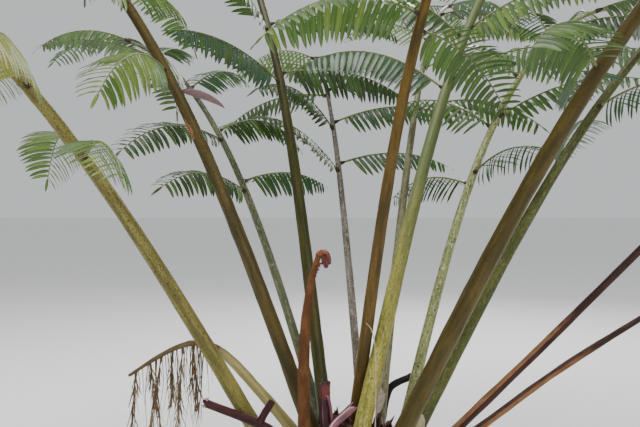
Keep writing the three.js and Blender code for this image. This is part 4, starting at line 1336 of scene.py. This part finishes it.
# Curls that hang from the outside of the coil, from one turn of it to another
HANGING_CURLS = {
    "count": 15, "from": 0.3, "to": 0.78, "lengths": (11, 27), "thick": 4.2, "thin": 2.4, "sway": 3,
}
# The furled heart of the coil, across it, and the knobs down the stem's right side
COIL_HEART = Stem([np.array(COIL_CENTRE) + [0, y, 0] for y in (-6, -4, 4, 6)], [2, 7, 7, 2])
STEM_KNOBS = [(-121, 997), (-116, 1011), (-113, 1022), (-107, 1034), (-103, 1046), (-99, 1055)]
KNOB_DEPTH = -128
KNOB_REACHES = (2, 8, 12, 15)
KNOB_RADII = [3.4, 3.8, 3.2, 1]
CURL_OVER = (1.0, 0.2, 0.3)
# Finishes of the crozier, by their place in its list
ON_STEM, ON_COIL, ON_CURL = range(3)


def crozier_coil():
    """Points and radii of the coil, and the way outwards at each point."""
    turns = np.linspace(0, CROZIER_COIL["turns"], CROZIER_COIL["steps"] + 1)
    turn = np.radians(COIL_START) - 2 * np.pi * turns
    outward = np.stack([np.cos(turn), 0 * turn, np.sin(turn)], axis=-1)
    reach = CROZIER_COIL["reach"] * CROZIER_COIL["shrink"] ** -turns
    return np.array(COIL_CENTRE) + outward * reach[:, None], CROZIER_COIL["girth"] * reach, outward


def add_nub(sheaf, rng, place, girth, way, hand):
    """A furled pinna on one side of the coil."""
    aside = np.array([0, hand, 0])
    root = place + aside * girth * 0.5
    reach = NUB["length"] * rng.uniform(*NUB["sizes"]) * girth / NUB["on_girth"]
    tip = root + aside * reach * 0.75 - way * reach * 0.2
    curl = tip - way * reach * 0.6 - aside * reach * 0.25
    line = [root, (root + tip) / 2 + way * reach * 0.1, tip, curl]
    nub = Stem(line, [girth * share for share in NUB["radii"]])
    add_stem(sheaf, nub, 3, 7, ON_COIL, 0.2, 67, over=CURL_OVER)


def add_hanging_curl(sheaf, rng, number, coil, girths, outward):
    """A curled young pinna that hangs from the coil."""
    facts = HANGING_CURLS
    turns = mixed(facts["from"], facts["to"], number / (facts["count"] - 1))
    at = round(turns / CROZIER_COIL["turns"] * CROZIER_COIL["steps"])
    length = rng.uniform(*facts["lengths"])
    sway = rng.uniform(-facts["sway"], facts["sway"], (2, 2))
    root = coil[at] + outward[at] * girths[at] * 0.4 + np.array([0, rng.uniform(-0.8, 0.8) * girths[at], 0])
    middle = root + np.array([2 + sway[0, 0], sway[0, 1] * 2, -length * 0.5])
    tip = middle + np.array([sway[1, 0], sway[1, 1], -length * 0.5])
    curl = tip + np.array([-3 * np.sign(sway[0, 0]), -2, 3])
    radii = [facts["thick"], facts["thick"] * 0.9, facts["thick"] * 0.7, facts["thin"]]
    stem = Stem([root, middle, tip, curl], radii)
    add_closed_stem(sheaf, stem, 4, 7, ON_CURL, 0.3, 68 + number, over=CURL_OVER)


def add_crozier():
    """The young frond: a felted stem, its coil and the furled pinnae along the coil."""
    rng = np.random.default_rng(760)
    sheaf = Sheaf()
    coil, girths, outward = crozier_coil()
    stem = Stem(list(CROZIER.line) + coil.tolist(), list(CROZIER.radii) + girths.tolist())
    points, radii = smooth_line(stem, CROZIER_STEPS)
    on_coil = np.arange(len(points)) >= CROZIER_STEPS * len(CROZIER.line)
    finishes = np.where(on_coil[:, None], ON_COIL, ON_STEM) + np.zeros((1, CROZIER_SIDES), int)
    grid, _ = add_tube(sheaf, points, radii, CROZIER_SIDES, finishes, 0.16, 66)
    sheaf.close_end(grid, ON_COIL)
    for step in range(NUB["from_step"], len(coil)):
        for hand in (1, -1):
            add_nub(sheaf, rng, coil[step], girths[step], outward[step], hand)
    for number in range(HANGING_CURLS["count"]):
        add_hanging_curl(sheaf, rng, number, coil, girths, outward)
    add_closed_stem(sheaf, COIL_HEART, 4, 12, ON_CURL, 0.4, 83, over=(1.0, 0.0, 0.0))
    for x, z in STEM_KNOBS:
        line = [(x + reach, KNOB_DEPTH - 2, z + reach * 0.5) for reach in KNOB_REACHES]
        add_closed_stem(sheaf, Stem(line, KNOB_RADII), 4, 8, ON_CURL, 0.3, 84)
    return piece("crozier_surface", sheaf, [FELT, COIL_FELT, CURL_SKIN], ["crozier"], "young_frond")


def scatter_tree():
    """Geometry nodes that set small copies of one shape over a surface, standing off it."""
    tree = bpy.data.node_groups.new("scatter", "GeometryNodeTree")
    for name, kind in (
        ("Surface", "NodeSocketGeometry"), ("Shape", "NodeSocketObject"), ("Density", "NodeSocketFloat"),
        ("Seed", "NodeSocketInt"), ("Least Size", "NodeSocketFloat"), ("Most Size", "NodeSocketFloat"),
        ("Tilt", "NodeSocketFloat"), ("Finish", "NodeSocketMaterial"),
    ):
        tree.interface.new_socket(name, in_out="INPUT", socket_type=kind)
    tree.interface.new_socket("Scattered", in_out="OUTPUT", socket_type="NodeSocketGeometry")
    given = add_node(tree, "NodeGroupInput").outputs
    spots = add_node(tree, "GeometryNodeDistributePointsOnFaces", {
        "Mesh": given["Surface"], "Density": given["Density"], "Seed": given["Seed"],
    })
    size = add_node(tree, "FunctionNodeRandomValue", {
        2: given["Least Size"], 3: given["Most Size"], "Seed": given["Seed"],
    }, data_type="FLOAT").outputs[1]
    back = add_node(tree, "ShaderNodeMath", {0: given["Tilt"], 1: -1.0}, operation="MULTIPLY").outputs[0]
    tilt = given["Tilt"]
    least = add_node(tree, "ShaderNodeCombineXYZ", {0: back, 1: back, 2: -math.pi}).outputs[0]
    most = add_node(tree, "ShaderNodeCombineXYZ", {0: tilt, 1: tilt, 2: math.pi}).outputs[0]
    spin = add_node(tree, "FunctionNodeRandomValue", {
        0: least, 1: most, "Seed": given["Seed"],
    }, data_type="FLOAT_VECTOR").outputs[0]
    facing = add_node(tree, "FunctionNodeRotateRotation", {
        "Rotation": spots.outputs["Rotation"], "Rotate By": spin,
    }, rotation_space="LOCAL")
    shape = add_node(tree, "GeometryNodeObjectInfo", {"Object": given["Shape"]})
    copies = add_node(tree, "GeometryNodeInstanceOnPoints", {
        "Points": spots.outputs["Points"], "Instance": shape.outputs["Geometry"],
        "Rotation": facing.outputs[0], "Scale": size,
    })
    real = add_node(tree, "GeometryNodeRealizeInstances", {0: copies.outputs[0]})
    place = add_node(tree, "GeometryNodeInputPosition").outputs[0]
    grained = add_node(tree, "GeometryNodeStoreNamedAttribute", {
        "Geometry": real.outputs[0], "Name": "grain", "Value": place,
    }, data_type="FLOAT_VECTOR", domain="POINT")
    dressed = add_node(tree, "GeometryNodeSetMaterial", {
        "Geometry": grained.outputs[0], "Material": given["Finish"],
    })
    add_node(tree, "NodeGroupOutput", {0: dressed.outputs[0]})
    return tree


SCATTER = scatter_tree()


def scattered(name, surface, shape, values, nodes, slot):
    """A piece of small shapes scattered over a surface that is itself left as it is."""
    carrier = bpy.data.objects.new(f"{name}_carrier", surface)
    bpy.context.scene.collection.objects.link(carrier)
    modifier = carrier.modifiers.new("scatter", "NODES")
    modifier.node_group = SCATTER
    inputs = [item for item in SCATTER.interface.items_tree if item.in_out == "INPUT"]
    sockets = {item.name: item.identifier for item in inputs}
    for key, value in {"Shape": shape, **values}.items():
        modifier[sockets[key]] = value
    carrier.update_tag()
    found = carrier.evaluated_get(bpy.context.evaluated_depsgraph_get())
    mesh = bpy.data.meshes.new_from_object(found)
    carrier.modifiers.remove(modifier)
    bpy.data.objects.remove(carrier)
    mesh.name = name
    return shown(bpy.data.objects.new(name, mesh), nodes, slot)


def small_shape(name, length, width, bow, rows=4):
    """A thin pointed strip, its sizes in metres, that stands up and bows over, to be scattered."""
    share = np.linspace(0, 1, rows)
    half = width / 2 * np.sqrt(np.maximum(0, 1 - share**2)) * np.minimum(1, 0.5 + 3 * share)
    rise, lean = length * share * (1 - 0.3 * bow * share), bow * length * share**2
    points = [(side * half[k], lean[k], rise[k]) for k in range(rows - 1) for side in (1, -1)]
    points.append((0, lean[-1], rise[-1]))
    faces = [(2 * k, 2 * k + 1, 2 * k + 3, 2 * k + 2) for k in range(rows - 2)]
    faces.append((2 * rows - 4, 2 * rows - 3, 2 * rows - 2))
    mesh = bpy.data.meshes.new(name)
    mesh.from_pydata(points, [], faces)
    return bpy.data.objects.new(name, mesh)


# Hairs of the felt and scales of the crown: the strip's length, width and bow, with the rows of its
# mesh for a scale, and how it is scattered
HAIR = (0.0042, 0.0006, 0.7)
HAIR_SCATTER = {
    "Density": 52000.0, "Seed": 5, "Least Size": 0.5, "Most Size": 1.2, "Tilt": 0.6, "Finish": FELT_HAIR,
}
SCALE = (0.034, 0.007, 0.55, 5)
SCALE_SCATTER = {
    "Density": 2600.0, "Seed": 9, "Least Size": 0.4, "Most Size": 1.0, "Tilt": 0.9, "Finish": SCALE_SKIN,
}

crozier = add_crozier()
hair = small_shape("felt_hair", *HAIR)
scattered("crozier_hairs", crozier.data, hair, HAIR_SCATTER, ["crozier"], "young_frond")

# Trunk
TRUNK_HEIGHT = TRUNK_OUTLINE[-1][1]
TRUNK_ROWS, TRUNK_SIDES = 150, 240
# Heights over which the trunk's relief turns from outwards to upwards, and the height at which it
# is full above the ground
RELIEF_TURNS_UP = (300, 440)
RELIEF_FULL_AT = 12
# Scars of shed fronds in a spiral: arched plates that stand proud, each with a dent in it
LEAF_SCARS = {
    "count": 90, "lowest": 8, "rise": 4.9, "width": 34, "height": 26, "arch": 0.12, "proud": 17,
    "dent_width": 20, "dent_height": 13, "dent_up": 6, "hollow": 11, "least_radius": 60,
}
# Roughness of the bark: size of its lumps, how high they stand and the seed; how much longer they are
# upwards, and how far the bark lies inside the outline between them
BARK_LUMPS = [(22, 9, 31), (6, 4, 35)]
BARK_STRETCH = np.array([1, 1, 3.2])
BARK_INSIDE = 6


def trunk_profile(shares):
    """Radius and height on the trunk's outline at shares of its length."""
    outline = np.array(TRUNK_OUTLINE, float)
    run = np.concatenate([[0], np.cumsum(np.linalg.norm(np.diff(outline, axis=0), axis=1))])
    place = shares * run[-1]
    return np.interp(place, run, outline[:, 0]), np.interp(place, run, outline[:, 1])


def trunk_radius(height):
    levels = [level for _, level in TRUNK_OUTLINE]
    return np.interp(height, levels, [radius for radius, _ in TRUNK_OUTLINE])


def root_lobes(turn, share):
    """How much further than its outline the trunk reaches at its root lobes."""
    return 1 + ROOT_LOBE_DEPTH * np.cos(ROOT_LOBES * turn) * np.maximum(0, 1 - share / ROOT_LOBE_TOP)


def leaf_scar_relief(turn, height):
    """Height of the scars of shed fronds over the trunk, in millimetres."""
    raised = np.zeros((len(height), len(turn)))
    for i in range(LEAF_SCARS["count"]):
        level = LEAF_SCARS["lowest"] + LEAF_SCARS["rise"] * i
        round_by = np.angle(np.exp(1j * (turn - math.radians(OLD_STUBS["turn"] * i))))[None]
        away = round_by * max(trunk_radius(level), LEAF_SCARS["least_radius"])
        up = (height - level)[:, None]
        arched = (up + LEAF_SCARS["arch"] * np.abs(away)) / LEAF_SCARS["height"]
        plate = np.exp(-((away / LEAF_SCARS["width"]) ** 4) - arched**4)
        dent_up = (up - LEAF_SCARS["dent_up"]) / LEAF_SCARS["dent_height"]
        dent = np.exp(-((away / LEAF_SCARS["dent_width"]) ** 2) - dent_up**2)
        raised = np.maximum(raised, plate * LEAF_SCARS["proud"] - dent * LEAF_SCARS["hollow"])
    return raised


def trunk_grid():
    """Points of the trunk in millimetres: its outline, root lobes, scars of old fronds and roughness."""
    radius, height = trunk_profile(np.linspace(0, 1, TRUNK_ROWS))
    turn = turns_of(TRUNK_SIDES)
    share = (height / TRUNK_HEIGHT)[:, None]
    lobes = root_lobes(turn[None], share)
    x = radius[:, None] * lobes * np.cos(turn) + TRUNK_LEAN[0] * share
    y = radius[:, None] * lobes * np.sin(turn) + TRUNK_LEAN[1] * share
    grid = np.stack([x, y, np.broadcast_to(height[:, None], x.shape)], axis=-1)
    outward = np.stack([np.cos(turn), np.sin(turn), 0 * turn], axis=-1)[None] * np.ones((TRUNK_ROWS, 1, 1))
    low, high = RELIEF_TURNS_UP
    outward[..., 2] = np.clip((height - low) / (high - low), 0, 1)[:, None]
    raised = leaf_scar_relief(turn, height)
    place = grid / BARK_STRETCH
    lumps = sum(depth * (rough_noise(place, size, seed) - 0.5) for size, depth, seed in BARK_LUMPS)
    raised += lumps - BARK_INSIDE
    raised *= np.clip(height / RELIEF_FULL_AT, 0, 1)[:, None]
    grid = grid + unit(outward) * raised[..., None]
    grid[..., 2] = np.maximum(grid[..., 2], 0)
    return grid


# Thin roots down the trunk's foot: heights of their tops, radii, and how they wander; then the shares
# of their radius at each of their points, from the top down
ROOTS = {
    "count": 84, "apart": 0.4, "tops": (80, 250), "foot": 3, "radii": (2.2, 5), "wander": 0.03,
    "off": (-2, 3),
}
ROOT_GIRTHS = np.array([0.6, 0.6, 1, 1, 1, 1, 1, 0.8, 0.8])


def add_roots(sheaf, rng, finish):
    """Thin roots that run down the trunk to the ground, close against it."""
    count = len(ROOT_GIRTHS)
    for k in range(ROOTS["count"]):
        angle = 2 * np.pi * (k + rng.uniform(-ROOTS["apart"], ROOTS["apart"])) / ROOTS["count"]
        heights = np.linspace(rng.uniform(*ROOTS["tops"]), ROOTS["foot"], count)
        angles = angle + np.cumsum(rng.normal(0, ROOTS["wander"], count))
        lobes = root_lobes(angles, heights / TRUNK_HEIGHT)
        reach = trunk_radius(heights) * lobes + rng.uniform(*ROOTS["off"], count)
        line = np.stack([reach * np.cos(angles), reach * np.sin(angles), heights], axis=-1)
        points, radii = smooth_line(Stem(line, rng.uniform(*ROOTS["radii"]) * ROOT_GIRTHS), 3)
        points[:, 2] = np.maximum(points[:, 2], radii + 0.5)
        grid, _ = add_tube(sheaf, points, radii, 7, finish, 0.3, 200 + k)
        sheaf.close_end(grid, finish)


# An old stub is this much shorter than in the CAD model, which its splinters make up, with its radii
# at its foot, middle and end, and its end is turned up a little
OLD_STUB_SHORTER = 8
OLD_STUB_RADII = [26, OLD_STUB_RADIUS, 18]
OLD_STUB_TURN_UP = 3


def add_old_stubs(sheaf, rng, skin, inside):
    """Stubs of shed fronds in a spiral up the trunk, where no stem is near."""
    for i in range(OLD_STUBS["count"]):
        turn = math.radians(OLD_STUBS["turn"] * i)
        height = OLD_STUBS["lowest"] + OLD_STUBS["rise"] * i
        out = np.array([math.cos(turn), math.sin(turn), 0])
        tilt = math.radians(mixed(*OLD_STUB_TILTS, i / OLD_STUBS["count"]))
        along = out * math.sin(tilt) + UP * math.cos(tilt)
        base = out * (trunk_radius(height) - OLD_STUBS["inside"]) + UP * (height - OLD_STUBS["drop"])
        length = OLD_STUB_LENGTHS[i % len(OLD_STUB_LENGTHS)] - OLD_STUB_SHORTER
        tip = base + along * length
        if near_a_stem(tip, OLD_STUB_ROOM):
            continue
        line = [base, base + along * length * 0.5, tip + UP * OLD_STUB_TURN_UP]
        grid, grain = add_stem(sheaf, Stem(line, OLD_STUB_RADII), 6, 18, skin, 0.4, 120 + i)
        add_snapped_end(sheaf, grid, grain, rng, skin, inside, 14)


def near_a_stem(point, room):
    return any(distance_to_piece(point, stem) < stem.radius + room for stem in stem_pieces)


# Flaps beside the foot of each stipe: the angles round the stipe at which their middles lie and the
# spread of these, how far round and up they reach, how ragged their upper edge is, how they bulge and
# thin out, and the rows and columns of their mesh
FLAP = {
    "rows": 10, "columns": 9, "middles": (-28, 208), "shift": 12, "width": 62, "narrowing": 0.25,
    "height": 84, "ragged": (0.8, 1.08), "side_drop": 0.3, "heights": (0.8, 1.15), "start": 42, "sunk": 14,
    "thickness": 8, "thinning": 0.6, "edge_rows": 3,
}
FLAP_BULGE = {"foot": 4, "middle": 13, "edge": 10, "run": 1.15, "from": 0.1}
FLAP_LUMPS = {"height": 3.2, "size": 14, "seed": 150}
# How far along a stipe its leaving of the trunk is looked for, and in what steps
LEAVING_REACH = 300
LEAVING_STEP = 5


def leaves_trunk_at(station_at):
    """The distance along a stipe at which its middle leaves the trunk."""
    for distance in range(0, LEAVING_REACH, LEAVING_STEP):
        x, y, z = station_at(distance).point
        share = z / TRUNK_HEIGHT
        away = math.hypot(x - TRUNK_LEAN[0] * share, y - TRUNK_LEAN[1] * share)
        if share >= 1 or away > trunk_radius(z):
            return distance
    return 0


def add_sheet(sheaf, rings, lumps, finish, edge, edge_rows):
    """A lumpy thin sheet from its rings of points in millimetres, with another finish at its edge."""
    rings = np.array(rings)
    rings += lumps["height"] * (rough_noise(rings, lumps["size"], lumps["seed"])[..., None] - 0.5)
    rows = np.arange(len(rings))[:, None] + np.zeros((1, rings.shape[1]), int)
    sheaf.add_grid(rings * MM, np.where(rows >= len(rings) - edge_rows, edge, finish))
    sheaf.close_end(rings * MM, edge)


def flap_ring(station_at, start, middle, heights, row):
    """One ring of a flap: along its outer face and back along its inner one."""
    part = np.linspace(-1, 1, FLAP["columns"])
    share = row / (FLAP["rows"] - 1)
    wave = math.sin(math.pi * min(1, FLAP_BULGE["run"] * share + FLAP_BULGE["from"]))
    bulge = FLAP_BULGE["foot"] + FLAP_BULGE["middle"] * wave + FLAP_BULGE["edge"] * share**3
    thickness = FLAP["thickness"] * (1 - FLAP["thinning"] * share)
    ring = []
    for face, order in ((0.5, range(FLAP["columns"])), (-0.5, reversed(range(FLAP["columns"])))):
        for column in order:
            station = station_at(start + FLAP["height"] * heights[column] * share)
            angle = math.radians(middle + FLAP["width"] * part[column] * (1 - FLAP["narrowing"] * share))
            outward = station.across * math.cos(angle) + station.over * math.sin(angle)
            foot = station.point - station.along * (FLAP["sunk"] if row == 0 else 0)
            ring.append(foot + outward * (station.radius + bulge + thickness * face))
    return ring


def add_flaps(sheaf, rng, station_at, finish, edge):
    """Two ear-like flaps beside the foot of a stipe, with torn upper edges."""
    start = max(0, leaves_trunk_at(station_at) - FLAP["start"])
    for middle in FLAP["middles"]:
        middle = middle + rng.uniform(-FLAP["shift"], FLAP["shift"])
        part = np.linspace(-1, 1, FLAP["columns"])
        heights = rng.uniform(*FLAP["ragged"], FLAP["columns"]) * (1 - FLAP["side_drop"] * part**2)
        heights = heights * rng.uniform(*FLAP["heights"])
        rings = [flap_ring(station_at, start, middle, heights, row) for row in range(FLAP["rows"])]
        add_sheet(sheaf, rings, FLAP_LUMPS, finish, edge, FLAP["edge_rows"])


# The point of the trunk's outline where the crown starts
CROWN_START = 4
# Shards of old leaf bases on the crown: places of the first ones and how far those rise; for
# the others how far out they stand and how far they rise; then how wide, thick, bowed and torn they
# are, how deep they are sunk, how upright they stand, and their mesh
SHARD_SPOTS = [(118, -66), (150, -40), (132, -22), (158, -74), (96, -40), (172, -52)]
SHARDS = {
    "spot_rise": 88, "count": 34, "reach": (20, 205), "rise": (26, 70), "width": (11, 20), "room": 7,
    "sunk": 14, "upright": 260.0, "lean": 40, "turn": 60, "torn": (0.55, 1.1), "side_drop": 0.25,
    "narrowing": 0.25, "bow_across": 6, "bow_along": 9, "thickness": 2.6, "thinning": 0.6, "rows": 7,
    "columns": 7, "edge_rows": 2,
}
SHARD_LUMPS = {"height": 2.4, "size": 9, "seed": 160}


def shard_rings(rng, foot, outward, side, half, reach):
    """The rings of a shard, each along its one face and back along the other."""
    face = np.cross(side, outward)
    part = np.linspace(-1, 1, SHARDS["columns"])
    torn = rng.uniform(*SHARDS["torn"], SHARDS["columns"]) * (1 - SHARDS["side_drop"] * part**2)
    rings = []
    for share in np.linspace(0, 1, SHARDS["rows"]):
        breadth = half * part * (1 - SHARDS["narrowing"] * share)
        line = foot + outward * (reach * share * torn)[:, None] + side * breadth[:, None]
        line = line - face * (SHARDS["bow_across"] * part**2)[:, None]
        line = line - face * (SHARDS["bow_along"] * share**2)
        thick = SHARDS["thickness"] * (1 - SHARDS["thinning"] * share)
        rings.append(np.vstack([line + face * thick, line[::-1] - face * thick]))
    return rings


def add_shards(sheaf, rng, finish, edge):
    """Torn remains of old leaf bases that stand up from the crown between the stipes."""
    spots = [(x, y, SHARDS["spot_rise"]) for x, y in SHARD_SPOTS]
    for _ in range(SHARDS["count"]):
        angle, reach = rng.uniform(0, 2 * np.pi), rng.uniform(*SHARDS["reach"])
        spots.append((reach * math.cos(angle), reach * math.sin(angle), rng.uniform(*SHARDS["rise"])))
    crown_radii, crown_levels = zip(*reversed(TRUNK_OUTLINE[CROWN_START:]))
    for x, y, rise in spots:
        ground = np.interp(math.hypot(x - TRUNK_LEAN[0], y - TRUNK_LEAN[1]), crown_radii, crown_levels)
        foot = np.array([x, y, ground - SHARDS["sunk"]])
        outward = unit(np.array([x, y, SHARDS["upright"]]) + rng.normal(0, SHARDS["lean"], 3))
        half = rng.uniform(*SHARDS["width"])
        side = square_to(np.array([-y, x, 0.0]) + rng.normal(0, SHARDS["turn"], 3), outward)
        reach = rise + SHARDS["sunk"]
        if near_a_stem((foot + (foot + outward * reach)) / 2, SHARDS["room"]):
            continue
        rings = shard_rings(rng, foot, outward, side, half, reach)
        add_sheet(sheaf, rings, SHARD_LUMPS, finish, edge, SHARDS["edge_rows"])


PALE_STRAND = Stem(
    [(86, -166, 372), (95, -170, 520), (97, -168, 700), (94, -160, 792), (84, -142, 836), (68, -120, 856)],
    [2.2, 2, 1.8, 1.6, 1.4, 1],
)
# Finishes of the trunk, by their place in its list, and the row of its mesh where the scales start
ON_BARK, ON_PITH, ON_FLAP, ON_FLAP_EDGE, ON_ROOT, ON_STRAND = range(6)
CROWN_ROW = 70


def add_trunk():
    """The trunk with its relief, roots, old stubs, flaps and shards, and the scales on its crown."""
    rng = np.random.default_rng(780)
    sheaf = Sheaf()
    grid = trunk_grid() * MM
    sheaf.add_grid(grid, ON_BARK)
    sheaf.add_cap(grid[0][::-1], np.zeros(3), ON_BARK)
    add_roots(sheaf, rng, ON_ROOT)
    add_old_stubs(sheaf, rng, ON_BARK, ON_PITH)
    for station_at in lines:
        add_flaps(sheaf, rng, station_at, ON_FLAP, ON_FLAP_EDGE)
    add_shards(sheaf, rng, ON_FLAP, ON_FLAP_EDGE)
    add_stem(sheaf, PALE_STRAND, 8, 6, ON_STRAND, 0.2, 69)
    finishes = [BARK, SNAPPED_PITH, FLAP_SKIN, FLAP_EDGE, ROOT_SKIN, STRAND_SKIN]
    piece("trunk_surface", sheaf, finishes, ["trunk"], "old_trunk")
    crown = Sheaf()
    crown.add_grid(grid[CROWN_ROW:])
    surface = bpy.data.meshes.new("crown")
    surface.from_pydata(np.concatenate(crown.points).tolist(), [], crown.faces)
    scale = small_shape("crown_scale_shape", *SCALE)
    scattered("crown_scales", surface, scale, SCALE_SCATTER, ["trunk"], "old_trunk")


add_trunk()

# Camera
camera = bpy.data.objects.new("camera", bpy.data.cameras.new("camera"))
camera.data.lens = CAMERA_LENS
camera.data.sensor_width = CAMERA_SENSOR
camera.data.clip_start = 0.01
camera.data.clip_end = 200
camera.location = CAMERA_PLACE
camera.rotation_euler = (math.radians(90), 0, 0)
bpy.context.scene.collection.objects.link(camera)
bpy.context.scene.camera = camera

# Floor and soft light, in metres
FLOOR_RADIUS = 400
FLOOR_SIDES = 96
FLOOR_BELOW = 0.002
WORLD_STRENGTH = 0.75
# Lamps: place, what they point at, width and power in watts
LAMPS = {
    "overhead_light": ((-1.5, -1.0, 6.5), (0, 0, 1.5), 4.0, 420),
    "front_light": ((3.0, -5.5, 3.8), (0, 0, 1.2), 3.0, 160),
    "back_light": ((2.0, 5.5, 5.0), (0, 0, 1.6), 3.0, 240),
}


def add_floor():
    """A plain pale floor, matt like paper."""
    skin, tree = new_material("pale_floor")
    finish_material(tree, add_node(tree, "ShaderNodeBsdfDiffuse", {"Color": colour("f0f0ee")}).outputs[0])
    mesh = bpy.data.meshes.new("floor")
    turn = turns_of(FLOOR_SIDES)
    rim = np.stack([FLOOR_RADIUS * np.cos(turn), FLOOR_RADIUS * np.sin(turn), 0 * turn], axis=-1)
    mesh.from_pydata(rim.tolist(), [], [list(range(FLOOR_SIDES))])
    mesh.materials.append(skin)
    floor = bpy.data.objects.new("floor", mesh)
    floor.location = (0, 0, -FLOOR_BELOW)
    bpy.context.scene.collection.objects.link(floor)


def add_lamp(name, place, target, size, watts):
    light = bpy.data.lights.new(name, "AREA")
    light.shape = "DISK"
    light.size = size
    light.energy = watts
    lamp = bpy.data.objects.new(name, light)
    lamp.location = place
    aim = np.array(target, float) - np.array(place, float)
    lamp.rotation_euler = Vector(aim).to_track_quat("-Z", "Y").to_euler()
    bpy.context.scene.collection.objects.link(lamp)


add_floor()
world = bpy.data.worlds.new("studio")
world.use_nodes = True
world.node_tree.nodes["Background"].inputs["Color"].default_value = colour("eceef0")
world.node_tree.nodes["Background"].inputs["Strength"].default_value = WORLD_STRENGTH
bpy.context.scene.world = world
for name, facts in LAMPS.items():
    add_lamp(name, *facts)
